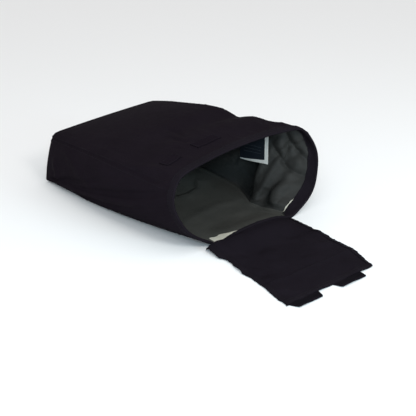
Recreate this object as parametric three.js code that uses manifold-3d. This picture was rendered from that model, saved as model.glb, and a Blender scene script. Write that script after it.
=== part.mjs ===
import * as THREE from 'three';
import { mergeVertices } from 'three/addons/utils/BufferGeometryUtils.js';
import Module from 'manifold-3d';

// A film changing bag of light-proof cloth, lying open on its bottom panel, in millimetres.
// +Z is up, the mouth looks towards -Y and the closed end towards +Y.
// The origin is the middle of the bottom panel's underside.

// Bag size
const BAG_DEPTH = 570; // closed end to lower lip
const LIP_SETBACK = 53; // the top lip lies this far behind the lower lip
const LIP_HEIGHT = 190; // height at which the setback is reached
const LIP_LEAN = 0.9; // under 1 the rim leans back most near the floor
const LIP_START = 0.25; // share of the depth, from the closed end, where the setback starts

// Cross-sections of the bag at its closed end, half way and at the mouth.
// Foot: where a side wall meets the floor. Top and height: where it meets the top panel.
// Bow: how far a wall stands out from the straight line between its corners.
const END = {
  leftFoot: -194, rightFoot: 160, leftTop: -159, leftHeight: 121, rightTop: 153, rightHeight: 143,
  leftBow: 6, rightBow: 10, topBow: 2,
};
const MIDDLE = {
  leftFoot: -180, rightFoot: 148, leftTop: -176, leftHeight: 148, rightTop: 144, rightHeight: 191,
  leftBow: 38, rightBow: 37, topBow: 12,
};
const MOUTH = {
  leftFoot: -118, rightFoot: 113, leftTop: -177, leftHeight: 160, rightTop: 189, rightHeight: 183,
  leftBow: 50, rightBow: 62, topBow: 14,
};
const END_BOW = 8; // how far the closed end bulges out
const RIGHT_LEAN = 1.2; // over 1 a side wall is fullest above its middle
const LEFT_LEAN = 1.3;
const TOP_POWER = 2; // a plain arch
const WALL_POWER = 2.8; // a boxier curve than the top's
const CORNER_ROUNDING = 0.05; // share of a side that a corner's rounding takes

// The right wall folds inwards behind the mouth
const FOLD_FROM_LIP = 105;
const FOLD_FRONT_REACH = 74; // towards the mouth the wall flares out again over this length
const FOLD_BACK_REACH = 34;
const FOLD_RIM_LENGTH = 57; // the fold eases out to nothing over this length at the rim
const FOLD_FOOT_SHIFT = 28; // how far the fold pulls the wall's foot inwards
const FOLD_BOW_LOSS = 0.95; // share of the wall's bow that the fold takes away

// The top's right shoulder sags between the stiff mouth and the bag's middle
const SHOULDER_SAG = 17;
const SHOULDER_FROM_LIP = 200;
const SHOULDER_REACH = 47;

// Cloth layers, from the outside in
const CLOTH = 1.2;
const LINING = 0.8;
const FACING = 0.8;
const LAYER_GAP = 0.4;
const SEAM_GAP = 0.3; // half the gap between two panels at a seam
const SEAM_TUCK = 0.4; // a layer ends this share of its depth short of the seam, so that no two meet
const SEAM_DROP = 15; // the top panel runs down the left wall as far as this, to its seam
const FACING_DEPTH = 28; // turned-in band round the mouth
const LINING_STEP = 4; // the lining ends this far behind the rim

// Closing flap, on the floor in front of the mouth
const FLAP_WIDTH = 250;
const FLAP_LENGTH = 283;
const FLAP_CENTRE = -24; // middle of the flap at its root
const FLAP_DRIFT = -41; // how far the middle has moved sideways at the far edge
const FLAP_DRIFT_CURVE = 2; // over 1 the flap leaves the lip straight and drifts later
const FLAP_ROOT = 85; // soft stretch next to the lip
const FLAP_CREASE = 205; // where the flap folds over the top lip
const HUMP_HEIGHT = 24;
const HUMP_CREST = 14; // distance of the hump's crest from the lip
const HUMP_EDGE = 0.15; // share of the hump's height that is left at the flap's side edges
const HUMP_FLATNESS = 4; // the higher, the flatter the hump runs from side to side
const HUMP_ROWS = 10; // of faces along the stretch, crowded near the crest
const HUMP_CROWDING = 1.4;
const HUMP_COLUMNS = 8;
const FLAP_ROWS = 6;
const FLAP_CLOTH = 1.2;
const BINDING_WIDTH = 8;
const BINDING_CLOTH = 0.8;
const HEM_WIDTH = 12;

// Tabs on the flap's far edge
const TAB_WIDTH = 70;
const TAB_LENGTH = 20;
const TAB_CLOTH = 2;
const TAB_LEFT = -84; // middle of each tab from the middle of the flap's far edge
const TAB_RIGHT = 37;
const HOOK_MARGIN = 3; // cloth left bare round the hook strip
const LOOP_FROM_LIP = 66;
const LOOP_LENGTH = 30;
const LOOP_CORNER_GAP = 20; // a loop strip stays this far from the top's left corner
const LOOP_CLOTH = 1;

// Label sewn to the top lining beside the right wall, from which it hangs down into the bag
const LABEL_NEAR_X = 134; // its edge near the mouth
const LABEL_NEAR_FROM_LIP = 106;
const LABEL_FAR_X = 115;
const LABEL_FAR_FROM_LIP = 183;
const LABEL_LOW = 92;
const LABEL_SEAM_GAP = 1; // between its upper edge and the lining's lowest point over it
const LABEL_CLOTH = 0.6;
const LABEL_BORDER = 7;
const LABEL_SIDE_BORDER = 10;

// Arm sleeves at the closed end
const SLEEVE_SPACING = 170;
const SLEEVE_WIDTH = 104;
const SLEEVE_HEIGHT = 34;
const SLEEVE_LENGTH = 85;
const SLEEVE_FLOOR_GAP = 3; // the tube stays this far above the floor, and its cuff fills the space
const SLEEVE_WAIST = 0.72; // how far the elastic gathers the sleeve
const SLEEVE_FLARE = 0.35; // share of that gathering that the open end springs back
const SLEEVE_ROWS = 4; // from the armhole to the cuff
const ELASTIC_WIDTH = 9;
const ELASTIC_CLOTH = 1;
const CUFF_WIDTH = 19;
const CUFF_CLOTH = 1;
const CUFF_FROM_END = 8;
const BINDING_RING_BACK = 3; // the armhole binding reaches this far into the bag
const BINDING_RING_OUT = 10; // and this far out of it
const BINDING_RING_CLOTH = 1.5;

const HALF_DEPTH = BAG_DEPTH / 2;
const LINING_INSET = CLOTH + LAYER_GAP;
const FACING_INSET = LINING_INSET + LINING + LAYER_GAP;

const BLACK = 0x1c1a1f;
const FLAP_BLACK = 0x1f1d21;
const OLIVE = 0x3c3a35;
const WHITE = 0xd8d8d2;
const CLOTH_ROUGHNESS = 0.9;
const RUBBER_ROUGHNESS = 0.6;

const wasm = await Module();
wasm.setup();

const bag = new THREE.Group();

function addPiece(name, geometry, color, roughness = CLOTH_ROUGHNESS) {
  const material = new THREE.MeshStandardMaterial({ color, roughness, metalness: 0 });
  const mesh = new THREE.Mesh(geometry, material);
  mesh.name = name;
  bag.add(mesh);
  return mesh;
}

function smooth(share) {
  const s = THREE.MathUtils.clamp(share, 0, 1);
  return s * s * (3 - 2 * s);
}

// A closed sheet between an outer and an inner surface, each a function of (i, j).
// With round set, the last column joins the first, as in a tube.
function sheetSolid(outer, inner, rows, columns, round = false) {
  const width = round ? columns : columns + 1;
  const layer = (rows + 1) * width;
  const positions = [];
  for (const side of [outer, inner]) {
    for (let i = 0; i <= rows; i++) {
      for (let j = 0; j < width; j++) positions.push(...side(i, j).toArray());
    }
  }
  const at = (i, j) => i * width + (j % width);
  const faces = [];
  const quad = (a, b, c, d) => faces.push(a, b, c, a, c, d);
  for (let i = 0; i < rows; i++) {
    for (let j = 0; j < columns; j++) {
      quad(at(i, j), at(i, j + 1), at(i + 1, j + 1), at(i + 1, j));
      quad(layer + at(i, j), layer + at(i + 1, j), layer + at(i + 1, j + 1), layer + at(i, j + 1));
    }
  }
  for (let j = 0; j < columns; j++) {
    quad(at(0, j), layer + at(0, j), layer + at(0, j + 1), at(0, j + 1));
    quad(at(rows, j + 1), layer + at(rows, j + 1), layer + at(rows, j), at(rows, j));
  }
  for (let i = 0; i < rows && !round; i++) {
    quad(at(i + 1, 0), layer + at(i + 1, 0), layer + at(i, 0), at(i, 0));
    quad(at(i, columns), layer + at(i, columns), layer + at(i + 1, columns), at(i + 1, columns));
  }
  const geometry = new THREE.BufferGeometry();
  geometry.setAttribute('position', new THREE.Float32BufferAttribute(positions, 3));
  geometry.setIndex(faces);
  return facingOut(geometry);
}

function facingOut(geometry) {
  const p = geometry.getAttribute('position');
  const index = geometry.getIndex().array;
  const [a, b, c] = [new THREE.Vector3(), new THREE.Vector3(), new THREE.Vector3()];
  let volume = 0;
  for (let k = 0; k < index.length; k += 3) {
    a.fromBufferAttribute(p, index[k]);
    b.fromBufferAttribute(p, index[k + 1]);
    c.fromBufferAttribute(p, index[k + 2]);
    volume += a.dot(b.cross(c));
  }
  if (volume < 0) geometry.setIndex([...index].reverse());
  geometry.computeVertexNormals();
  return geometry;
}

function toManifold(geometry) {
  const bare = geometry.clone();
  bare.deleteAttribute('normal');
  bare.deleteAttribute('uv');
  const merged = mergeVertices(bare);
  const vertProperties = new Float32Array(merged.getAttribute('position').array);
  const triVerts = new Uint32Array(merged.getIndex().array);
  return new wasm.Manifold(new wasm.Mesh({ numProp: 3, vertProperties, triVerts }));
}

function fromManifold(solid) {
  const mesh = solid.getMesh();
  const geometry = new THREE.BufferGeometry();
  geometry.setAttribute('position', new THREE.Float32BufferAttribute(mesh.vertProperties, 3));
  geometry.setIndex([...mesh.triVerts]);
  geometry.computeVertexNormals();
  return geometry;
}

// One value of the cross-section at t, from 0 at the closed end to 1 at the mouth:
// a parabola through the three stations.
function station(key, t) {
  const nearEnd = 2 * (t - 0.5) * (t - 1);
  const nearMiddle = 4 * t * (1 - t);
  const nearMouth = 2 * t * (t - 0.5);
  return nearEnd * END[key] + nearMiddle * MIDDLE[key] + nearMouth * MOUTH[key];
}

// How strongly the right wall's inward fold acts at t, from 0 to 1
function foldStrength(t) {
  const fromFold = BAG_DEPTH * (1 - t) - FOLD_FROM_LIP;
  const reach = fromFold < 0 ? FOLD_FRONT_REACH : FOLD_BACK_REACH;
  return Math.exp(-((fromFold / reach) ** 2)) * smooth((BAG_DEPTH * (1 - t)) / FOLD_RIM_LENGTH);
}

function shoulderSag(t) {
  const fromMiddle = BAG_DEPTH * (1 - t) - SHOULDER_FROM_LIP;
  return SHOULDER_SAG * Math.exp(-((fromMiddle / SHOULDER_REACH) ** 2));
}

function section(t) {
  const fold = foldStrength(t);
  return {
    corners: [
      new THREE.Vector2(station('leftFoot', t), 0),
      new THREE.Vector2(station('rightFoot', t) - FOLD_FOOT_SHIFT * fold, 0),
      new THREE.Vector2(station('rightTop', t), station('rightHeight', t) - shoulderSag(t)),
      new THREE.Vector2(station('leftTop', t), station('leftHeight', t)),
    ],
    bows: [
      0,
      station('rightBow', t) * (1 - FOLD_BOW_LOSS * fold),
      station('topBow', t),
      station('leftBow', t),
    ],
  };
}

// How full a wall's bow is at share s of the way from one corner to the next, from 0 to 1
function fullness(side, s) {
  const along = [s, s ** RIGHT_LEAN, s, 1 - (1 - s) ** LEFT_LEAN][side];
  const power = side === 2 ? TOP_POWER : WALL_POWER;
  return 1 - Math.abs(2 * along - 1) ** power;
}

// A point on the bag's outer skin with sharp corners. q runs once round the section, a unit a side:
// 0 to 1 the bottom, to 2 the right wall, to 3 the top, to 4 the left wall.
function sharpSkin(t, q) {
  const { corners, bows } = section(t);
  const turn = ((q % 4) + 4) % 4;
  const side = Math.min(Math.floor(turn), 3);
  const s = turn - side;
  const from = corners[side];
  const to = corners[(side + 1) % 4];
  const way = to.clone().sub(from);
  const outward = new THREE.Vector2(way.y, -way.x).normalize();
  const p = from.clone().addScaledVector(way, s).addScaledVector(outward, bows[side] * fullness(side, s));
  const lean = Math.max(p.y / LIP_HEIGHT, 0) ** LIP_LEAN;
  const setback = LIP_SETBACK * lean * smooth((t - LIP_START) / (1 - LIP_START));
  return new THREE.Vector3(p.x, HALF_DEPTH - BAG_DEPTH * t + setback, p.y);
}

// The same skin with its corners rounded
function skin(t, q) {
  const p = sharpSkin(t, q).multiplyScalar(2);
  p.add(sharpSkin(t, q - CORNER_ROUNDING)).add(sharpSkin(t, q + CORNER_ROUNDING));
  return p.multiplyScalar(0.25);
}

// A point of a layer that lies inset under the skin
function layerPoint(t, q, inset) {
  const step = 0.004;
  const alongQ = skin(t, q + step).sub(skin(t, q - step));
  const alongT = skin(t + step, q).sub(skin(t - step, q));
  const outward = alongQ.cross(alongT).normalize();
  return skin(t, q).addScaledVector(outward, -inset);
}

// The panels, each on one side of the section, with the columns that its shape needs
const PANELS = {
  bottom: { side: 0, columns: 5 },
  right: { side: 1, columns: 8 },
  top: { side: 2, columns: 8 },
  left: { side: 3, columns: 7 },
};

// The rows that every layer shares, from the closed end to the facing and on to the rim
const BODY_ROWS = 18;
const FACING_ROWS = 2;
const FACING_START = 1 - FACING_DEPTH / BAG_DEPTH;
const ROWS = [];
for (let i = 0; i <= BODY_ROWS; i++) ROWS.push((FACING_START * i) / BODY_ROWS);
for (let i = 1; i <= FACING_ROWS; i++) ROWS.push(THREE.MathUtils.lerp(FACING_START, 1, i / FACING_ROWS));

// Where a panel's columns lie round the section at t, with a narrow one along each seam.
// The top panel runs on down the left wall to its seam.
const EDGE_COLUMN = 6;
function panelColumns(panel, t) {
  const { side, columns } = PANELS[panel];
  const { corners } = section(t);
  const length = (k) => corners[k].distanceTo(corners[(k + 1) % 4]);
  const seam = 3 + SEAM_DROP / length(3);
  const start = panel === 'left' ? seam : side;
  const edge = EDGE_COLUMN / length(side);
  const found = [start];
  for (let j = 0; j <= columns; j++) {
    found.push(THREE.MathUtils.lerp(start + edge, side + 1 - edge, j / columns));
  }
  found.push(side + 1);
  if (panel === 'top') found.push(seam);
  return found;
}

// Moves the first and last point of a line inwards along its own first and last stretch
function trimEnds(line, first, last) {
  const n = line.length - 1;
  const head = line[0].clone().lerp(line[1], first / line[0].distanceTo(line[1]));
  const tail = line[n].clone().lerp(line[n - 1], last / line[n].distanceTo(line[n - 1]));
  return [head, ...line.slice(1, n), tail];
}

// One surface of a layer over the given rows, trimmed clear of the neighbouring panels,
// and by endTrim at the closed end and rimTrim at the mouth
function layerSurface(panel, rows, inset, seamTrim, endTrim, rimTrim) {
  const lines = rows.map((t) => panelColumns(panel, t).map((q) => layerPoint(t, q, inset)));
  const trimmed = lines.map((line) => {
    const first = panel === 'left' ? SEAM_GAP : seamTrim;
    const last = panel === 'top' ? SEAM_GAP : seamTrim;
    return trimEnds(line, first, last);
  });
  const along = trimmed[0].map((_, j) => trimEnds(trimmed.map((line) => line[j]), endTrim, rimTrim));
  return (i, j) => along[j][i];
}

function panelLayer(panel, inset, cloth, rows, endTrim, rimTrim) {
  const seamTrim = SEAM_GAP + SEAM_TUCK * (inset + cloth);
  const surface = (depth) => layerSurface(panel, rows, depth, seamTrim, endTrim, rimTrim);
  const columns = panelColumns(panel, 0).length - 1;
  return sheetSolid(surface(inset), surface(inset + cloth), rows.length - 1, columns);
}

// The closed end: a patch filling the section's outline, bulging out a little
function endPatch(inset, back, cloth) {
  const rows = 6;
  const columns = 8;
  const edge = (q) => layerPoint(0, q, inset);
  const patch = (u, v) => {
    const p = edge(u).multiplyScalar(1 - v).addScaledVector(edge(3 - u), v);
    p.addScaledVector(edge(4 - v), 1 - u).addScaledVector(edge(1 + v), u);
    p.addScaledVector(edge(0), -(1 - u) * (1 - v)).addScaledVector(edge(1), -u * (1 - v));
    p.addScaledVector(edge(3), -(1 - u) * v).addScaledVector(edge(2), -u * v);
    p.y = HALF_DEPTH + END_BOW * 16 * u * (1 - u) * v * (1 - v);
    return p;
  };
  const place = (offset) => (i, j) => {
    const p = patch(j / columns, i / rows);
    p.y += offset;
    return p;
  };
  return sheetSolid(place(back), place(back + cloth), rows, columns);
}

function ovalOutline(width, height, steps = 24) {
  const points = [];
  for (let k = 0; k < steps; k++) {
    const angle = (k / steps) * 2 * Math.PI;
    points.push(new THREE.Vector2((width / 2) * Math.cos(angle), (height / 2) * Math.sin(angle)));
  }
  return points;
}

const SLEEVE_CENTRE_Z = SLEEVE_FLOOR_GAP + SLEEVE_HEIGHT / 2;

// A solid of an oval outline that runs along Y from one y to another
function ovalPrism(x, width, height, fromY, toY, bore = 0) {
  const shape = new THREE.Shape(ovalOutline(width, height));
  if (bore > 0) shape.holes.push(new THREE.Path(ovalOutline(width - 2 * bore, height - 2 * bore)));
  const geometry = new THREE.ExtrudeGeometry(shape, { depth: toY - fromY, bevelEnabled: false });
  geometry.rotateX(-Math.PI / 2);
  geometry.translate(x, fromY, SLEEVE_CENTRE_Z);
  return geometry;
}

const SLEEVE_SIDES = { left: -SLEEVE_SPACING / 2, right: SLEEVE_SPACING / 2 };

function withArmholes(geometry) {
  let solid = toManifold(geometry);
  for (const x of Object.values(SLEEVE_SIDES)) {
    const reach = END_BOW + BINDING_RING_OUT;
    const hole = ovalPrism(x, SLEEVE_WIDTH, SLEEVE_HEIGHT, HALF_DEPTH - reach, HALF_DEPTH + reach);
    solid = solid.subtract(toManifold(hole));
  }
  return fromManifold(solid);
}

function makeBagLayers() {
  const facingRows = ROWS.slice(BODY_ROWS);
  const liningEndTrim = LINING + 2 * LAYER_GAP;
  for (const panel of Object.keys(PANELS)) {
    const outerName = `outer_${panel}_${panel === 'left' || panel === 'right' ? 'gusset' : 'panel'}`;
    addPiece(outerName, panelLayer(panel, 0, CLOTH, ROWS, LAYER_GAP, 0), BLACK);
    const lining = panelLayer(panel, LINING_INSET, LINING, ROWS, liningEndTrim, LINING_STEP);
    addPiece(`lining_${panel}`, lining, OLIVE, RUBBER_ROUGHNESS);
    addPiece(`mouth_facing_${panel}`, panelLayer(panel, FACING_INSET, FACING, facingRows, 0, 0), BLACK);
  }
  addPiece('outer_end_panel', withArmholes(endPatch(0, 0, CLOTH)), BLACK);
  const endLining = withArmholes(endPatch(FACING_INSET, -LINING - LAYER_GAP, LINING));
  addPiece('lining_end', endLining, OLIVE, RUBBER_ROUGHNESS);
}

// Height of the top lining's underside over a point of the label
function liningOver(x, fromLip) {
  const t = 1 - (fromLip - LIP_SETBACK) / BAG_DEPTH;
  const { corners } = section(t);
  const q = 2 + (corners[2].x - x) / (corners[2].x - corners[3].x);
  return layerPoint(t, q, LINING_INSET + LINING).z;
}

function makeLabel() {
  const near = new THREE.Vector2(LABEL_NEAR_X, LABEL_NEAR_FROM_LIP - HALF_DEPTH);
  const far = new THREE.Vector2(LABEL_FAR_X, LABEL_FAR_FROM_LIP - HALF_DEPTH);
  const width = near.distanceTo(far);
  const angle = Math.atan2(far.y - near.y, far.x - near.x);
  const nearSeam = liningOver(LABEL_NEAR_X, LABEL_NEAR_FROM_LIP);
  const farSeam = liningOver(LABEL_FAR_X, LABEL_FAR_FROM_LIP);
  const height = Math.min(nearSeam, farSeam) - LABEL_SEAM_GAP - LABEL_LOW;
  const middle = new THREE.Vector3((near.x + far.x) / 2, (near.y + far.y) / 2, LABEL_LOW + height / 2);
  const backing = addPiece('label_backing', new THREE.BoxGeometry(width, LABEL_CLOTH, height), WHITE);
  backing.position.copy(middle);
  backing.rotation.z = angle;
  const faceWidth = width - LABEL_SIDE_BORDER;
  const faceHeight = height - LABEL_BORDER;
  const face = addPiece('label_face', new THREE.BoxGeometry(faceWidth, LABEL_CLOTH, faceHeight), BLACK);
  const stack = LABEL_CLOTH + LAYER_GAP;
  const place = new THREE.Vector3(LABEL_SIDE_BORDER / 2, stack, LABEL_BORDER / 2);
  face.position.copy(place.applyAxisAngle(new THREE.Vector3(0, 0, 1), angle).add(middle));
  face.rotation.z = angle;
}

// Middle of the flap at a distance from the lip
function flapCentre(distance) {
  return FLAP_CENTRE + FLAP_DRIFT * (distance / FLAP_LENGTH) ** FLAP_DRIFT_CURVE;
}

// One flat layer of the flap between two distances from the lip, and from side to side
function flapLayer(fromLip, toLip, fromSide, toSide, low, cloth, rows = FLAP_ROWS) {
  const place = (z) => (i, j) => {
    const distance = THREE.MathUtils.lerp(fromLip, toLip, i / rows);
    const x = flapCentre(distance) + THREE.MathUtils.lerp(fromSide, toSide, j);
    return new THREE.Vector3(x, -HALF_DEPTH - distance, z);
  };
  return sheetSolid(place(low + cloth), place(low), rows, 1);
}

// The soft stretch at the lip, which rises over a hump and comes down to the floor
function flapRoot() {
  const stack = 2 * FLAP_CLOTH + LAYER_GAP;
  const place = (offset) => (i, j) => {
    const distance = THREE.MathUtils.lerp(2 * SEAM_GAP, FLAP_ROOT - SEAM_GAP, (i / HUMP_ROWS) ** HUMP_CROWDING);
    const across = j / HUMP_COLUMNS - 0.5;
    const rise = Math.sin((Math.PI / 2) * Math.min(distance / HUMP_CREST, 1));
    const share = THREE.MathUtils.clamp((distance - HUMP_CREST) / (FLAP_ROOT - HUMP_CREST), 0, 1);
    const fall = Math.cos((Math.PI / 2) * share) ** 2;
    const middle = 1 - (1 - HUMP_EDGE) * (2 * Math.abs(across)) ** HUMP_FLATNESS;
    const z = LAYER_GAP + offset + HUMP_HEIGHT * rise * fall * middle;
    return new THREE.Vector3(flapCentre(distance) + across * FLAP_WIDTH, -HALF_DEPTH - distance, z);
  };
  return sheetSolid(place(stack), place(0), HUMP_ROWS, HUMP_COLUMNS);
}

const FLAP_STACK = 2 * FLAP_CLOTH + 2 * LAYER_GAP;

function makeFlap() {
  const half = FLAP_WIDTH / 2;
  const facingLow = FLAP_CLOTH + LAYER_GAP;
  addPiece('flap_root', flapRoot(), FLAP_BLACK);
  const front = [FLAP_ROOT, FLAP_CREASE];
  addPiece('flap_front_outer', flapLayer(...front, -half, half, 0, FLAP_CLOTH), FLAP_BLACK);
  addPiece('flap_front_facing', flapLayer(...front, -half, half, facingLow, FLAP_CLOTH), FLAP_BLACK);
  const leftEdge = [-half, BINDING_WIDTH - half];
  const rightEdge = [half - BINDING_WIDTH, half];
  addPiece('flap_binding_left', flapLayer(...front, ...leftEdge, FLAP_STACK, BINDING_CLOTH), FLAP_BLACK);
  addPiece('flap_binding_right', flapLayer(...front, ...rightEdge, FLAP_STACK, BINDING_CLOTH), FLAP_BLACK);
  const end = [FLAP_CREASE + SEAM_GAP, FLAP_LENGTH];
  addPiece('flap_end_outer', flapLayer(...end, -half, half, 0, FLAP_CLOTH), FLAP_BLACK);
  addPiece('flap_end_facing', flapLayer(...end, -half, half, facingLow, FLAP_CLOTH), FLAP_BLACK);
  const hem = [FLAP_LENGTH - HEM_WIDTH, FLAP_LENGTH];
  addPiece('flap_end_hem', flapLayer(...hem, -half, half, FLAP_STACK, BINDING_CLOTH, 1), FLAP_BLACK);
}

// A tab and its hook strip, on the flap's far edge
function makeTab(side, offset) {
  const middle = flapCentre(FLAP_LENGTH) + offset;
  const tab = addPiece(`tab_${side}`, new THREE.BoxGeometry(TAB_WIDTH, TAB_LENGTH, TAB_CLOTH), FLAP_BLACK);
  const start = -HALF_DEPTH - FLAP_LENGTH - SEAM_GAP;
  tab.position.set(middle, start - TAB_LENGTH / 2, TAB_CLOTH / 2);
  const width = TAB_WIDTH - 2 * HOOK_MARGIN;
  const length = TAB_LENGTH - 2 * HOOK_MARGIN;
  const hooks = addPiece(`hook_strip_${side}`, new THREE.BoxGeometry(width, length, LOOP_CLOTH), BLACK);
  hooks.position.set(middle, tab.position.y, TAB_CLOTH + LAYER_GAP + LOOP_CLOTH / 2);
}

// The strip on the top panel that a tab grips, following the panel's curve
function makeLoopStrip(side, offset) {
  const middle = flapCentre(FLAP_LENGTH) + offset;
  const left = Math.max(middle - TAB_WIDTH / 2, MOUTH.leftTop + LOOP_CORNER_GAP);
  const right = middle + TAB_WIDTH / 2;
  const rows = 3;
  const columns = 4;
  const topWidth = MOUTH.rightTop - MOUTH.leftTop;
  const place = (outset) => (i, j) => {
    const x = THREE.MathUtils.lerp(left, right, j / columns);
    const t = 1 - (LOOP_FROM_LIP + (LOOP_LENGTH * i) / rows) / BAG_DEPTH;
    return layerPoint(t, 2 + (MOUTH.rightTop - x) / topWidth, -outset);
  };
  const strip = sheetSolid(place(LAYER_GAP + LOOP_CLOTH), place(LAYER_GAP), rows, columns);
  addPiece(`loop_strip_${side}`, strip, BLACK);
}

// Width of the sleeve at a share of its length, as a share of its full width:
// it narrows to the elastic and flares a little behind it
function sleeveGather(share) {
  const waistAt = 1 - CUFF_FROM_END / SLEEVE_LENGTH - CUFF_WIDTH / 2 / SLEEVE_LENGTH;
  const narrowing = smooth(share / waistAt);
  const flare = SLEEVE_FLARE * smooth((share - waistAt) / (1 - waistAt));
  return 1 - (1 - SLEEVE_WAIST) * (narrowing - flare);
}

const SLEEVE_START = HALF_DEPTH + BINDING_RING_OUT + LAYER_GAP;

// Shares of the sleeve's length where its bands start and end
const CUFF_END = 1 - CUFF_FROM_END / SLEEVE_LENGTH;
const CUFF_START = CUFF_END - CUFF_WIDTH / SLEEVE_LENGTH;
const ELASTIC_MARGIN = (CUFF_WIDTH - ELASTIC_WIDTH) / 2 / SLEEVE_LENGTH;
const ELASTIC_SHARES = [CUFF_START + ELASTIC_MARGIN, CUFF_END - ELASTIC_MARGIN];
const CUFF_SHARES = [CUFF_START, ...ELASTIC_SHARES, CUFF_END];
const SLEEVE_SHARES = [];
for (let i = 0; i < SLEEVE_ROWS; i++) SLEEVE_SHARES.push((CUFF_START * i) / SLEEVE_ROWS);
SLEEVE_SHARES.push(...CUFF_SHARES, 1);

// A band round the sleeve over some shares of its length, at an offset outside the tube
function sleeveBand(x, shares, outset, cloth) {
  const columns = 20;
  const place = (grow) => (i, j) => {
    const share = shares[i];
    const gather = sleeveGather(share);
    const angle = (j / columns) * 2 * Math.PI;
    const halfWidth = (SLEEVE_WIDTH * gather) / 2 + grow;
    const halfHeight = (SLEEVE_HEIGHT * gather) / 2 + grow;
    const centreZ = SLEEVE_FLOOR_GAP + (SLEEVE_HEIGHT * gather) / 2;
    const y = SLEEVE_START + share * SLEEVE_LENGTH;
    return new THREE.Vector3(x + halfWidth * Math.cos(angle), y, centreZ + halfHeight * Math.sin(angle));
  };
  return sheetSolid(place(outset + cloth), place(outset), shares.length - 1, columns, true);
}

function makeSleeve(side, x) {
  const ringStart = HALF_DEPTH - BINDING_RING_BACK;
  const ringSize = [SLEEVE_WIDTH - 2 * LAYER_GAP, SLEEVE_HEIGHT - 2 * LAYER_GAP];
  const ringEnd = HALF_DEPTH + BINDING_RING_OUT;
  const ring = ovalPrism(x, ...ringSize, ringStart, ringEnd, BINDING_RING_CLOTH);
  addPiece(`armhole_binding_${side}`, ring, BLACK);
  addPiece(`sleeve_${side}`, sleeveBand(x, SLEEVE_SHARES, -CLOTH, CLOTH), BLACK);
  const elastic = sleeveBand(x, ELASTIC_SHARES, LAYER_GAP, ELASTIC_CLOTH);
  addPiece(`sleeve_elastic_${side}`, elastic, WHITE);
  const cuffOutset = 2 * LAYER_GAP + ELASTIC_CLOTH;
  addPiece(`sleeve_cuff_${side}`, sleeveBand(x, CUFF_SHARES, cuffOutset, CUFF_CLOTH), BLACK);
}

makeBagLayers();
makeLabel();
makeFlap();
for (const [side, offset] of [['left', TAB_LEFT], ['right', TAB_RIGHT]]) {
  makeTab(side, offset);
  makeLoopStrip(side, offset);
}
for (const [side, x] of Object.entries(SLEEVE_SIDES)) makeSleeve(side, x);

export default bag;
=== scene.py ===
"""The looks of the film changing bag: cloth, folds, seams and stitching, built round the fixed frame."""

import math

import bpy
import numpy as np
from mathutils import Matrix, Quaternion, Vector


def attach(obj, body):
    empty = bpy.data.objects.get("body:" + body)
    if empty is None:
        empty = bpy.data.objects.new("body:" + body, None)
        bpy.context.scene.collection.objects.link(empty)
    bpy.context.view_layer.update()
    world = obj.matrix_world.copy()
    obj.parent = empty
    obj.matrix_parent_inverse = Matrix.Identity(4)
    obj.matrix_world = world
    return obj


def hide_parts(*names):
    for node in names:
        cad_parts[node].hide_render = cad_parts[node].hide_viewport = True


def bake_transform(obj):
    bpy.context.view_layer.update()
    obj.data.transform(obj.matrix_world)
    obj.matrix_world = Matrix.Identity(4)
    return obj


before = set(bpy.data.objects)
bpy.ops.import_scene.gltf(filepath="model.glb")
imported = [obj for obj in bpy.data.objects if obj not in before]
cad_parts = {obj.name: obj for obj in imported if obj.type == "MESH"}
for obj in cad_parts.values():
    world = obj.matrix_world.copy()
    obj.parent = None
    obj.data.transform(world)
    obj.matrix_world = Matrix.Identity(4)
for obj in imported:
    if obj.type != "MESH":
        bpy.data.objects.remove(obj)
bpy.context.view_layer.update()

# Shapes are worked out in millimetres and turned into metres when a mesh is made.
MM = 0.001

# The bag's form, as in the CAD model
BAG_DEPTH = 570
HALF_DEPTH = BAG_DEPTH / 2
LIP_SETBACK = 53
LIP_HEIGHT = 190
LIP_LEAN = 0.9
LIP_START = 0.25
END = dict(left_foot=-194, right_foot=160, left_top=-159, left_height=121, right_top=153, right_height=143,
           left_bow=6, right_bow=10, top_bow=2)
MIDDLE = dict(left_foot=-180, right_foot=148, left_top=-176, left_height=148, right_top=144, right_height=191,
              left_bow=38, right_bow=37, top_bow=12)
MOUTH = dict(left_foot=-118, right_foot=113, left_top=-177, left_height=160, right_top=189, right_height=183,
             left_bow=50, right_bow=62, top_bow=14)
END_BOW = 8
RIGHT_LEAN = 1.2
LEFT_LEAN = 1.3
TOP_POWER = 2
WALL_POWER = 2.8
CORNER_ROUNDING = 0.05
FOLD_FROM_LIP = 105
FOLD_FRONT_REACH = 74
FOLD_BACK_REACH = 34
FOLD_RIM_LENGTH = 57
FOLD_FOOT_SHIFT = 28
FOLD_BOW_LOSS = 0.95
FOLD_FOOT_TUCK = 21  # behind the fold the wall's foot is tucked in further
FOLD_FOOT_FROM_LIP = 150
FOLD_FOOT_REACH = 52
SHOULDER_SAG = 17
SHOULDER_FROM_LIP = 200
SHOULDER_REACH = 47
SEAM_DROP = 15

# The lower lip rises off the floor into a hump, from which the flap comes down.
# Each pair is a place across the bag and the height there.
LIP_CREST = [(-118, 0), (-104, 2), (-81, 13), (-54, 19.5), (-29, 21.5), (-2, 22.5), (28, 20), (59, 15.5),
             (88, 5), (105, 0)]
FLAP_CREST = [(-158, 4), (-137, 22), (-121, 19.5), (-104, 18.5), (-81, 22), *LIP_CREST[3:]]
LIP_HIGHEST = max(height for _, height in LIP_CREST)
CREST_ROUNDING = 8
CREST_FROM_LIP = 14
HUMP_LENGTH = 85
LIP_FORWARD = 12
LIP_CLOTH_HEIGHT = 80  # cloth higher than this on the walls doesn't follow the lip

# Cloth layers
CLOTH = 1.0
LINING_INSET = 1.8
LINING = 0.6
LINING_DRAWN_IN = 3  # the closed end's lining is smaller by this all round
HEM_WIDTH = 16
STITCH_PITCH = 3.4
STITCH_LENGTH = 2.3
STITCH_RADIUS = 0.38

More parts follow.
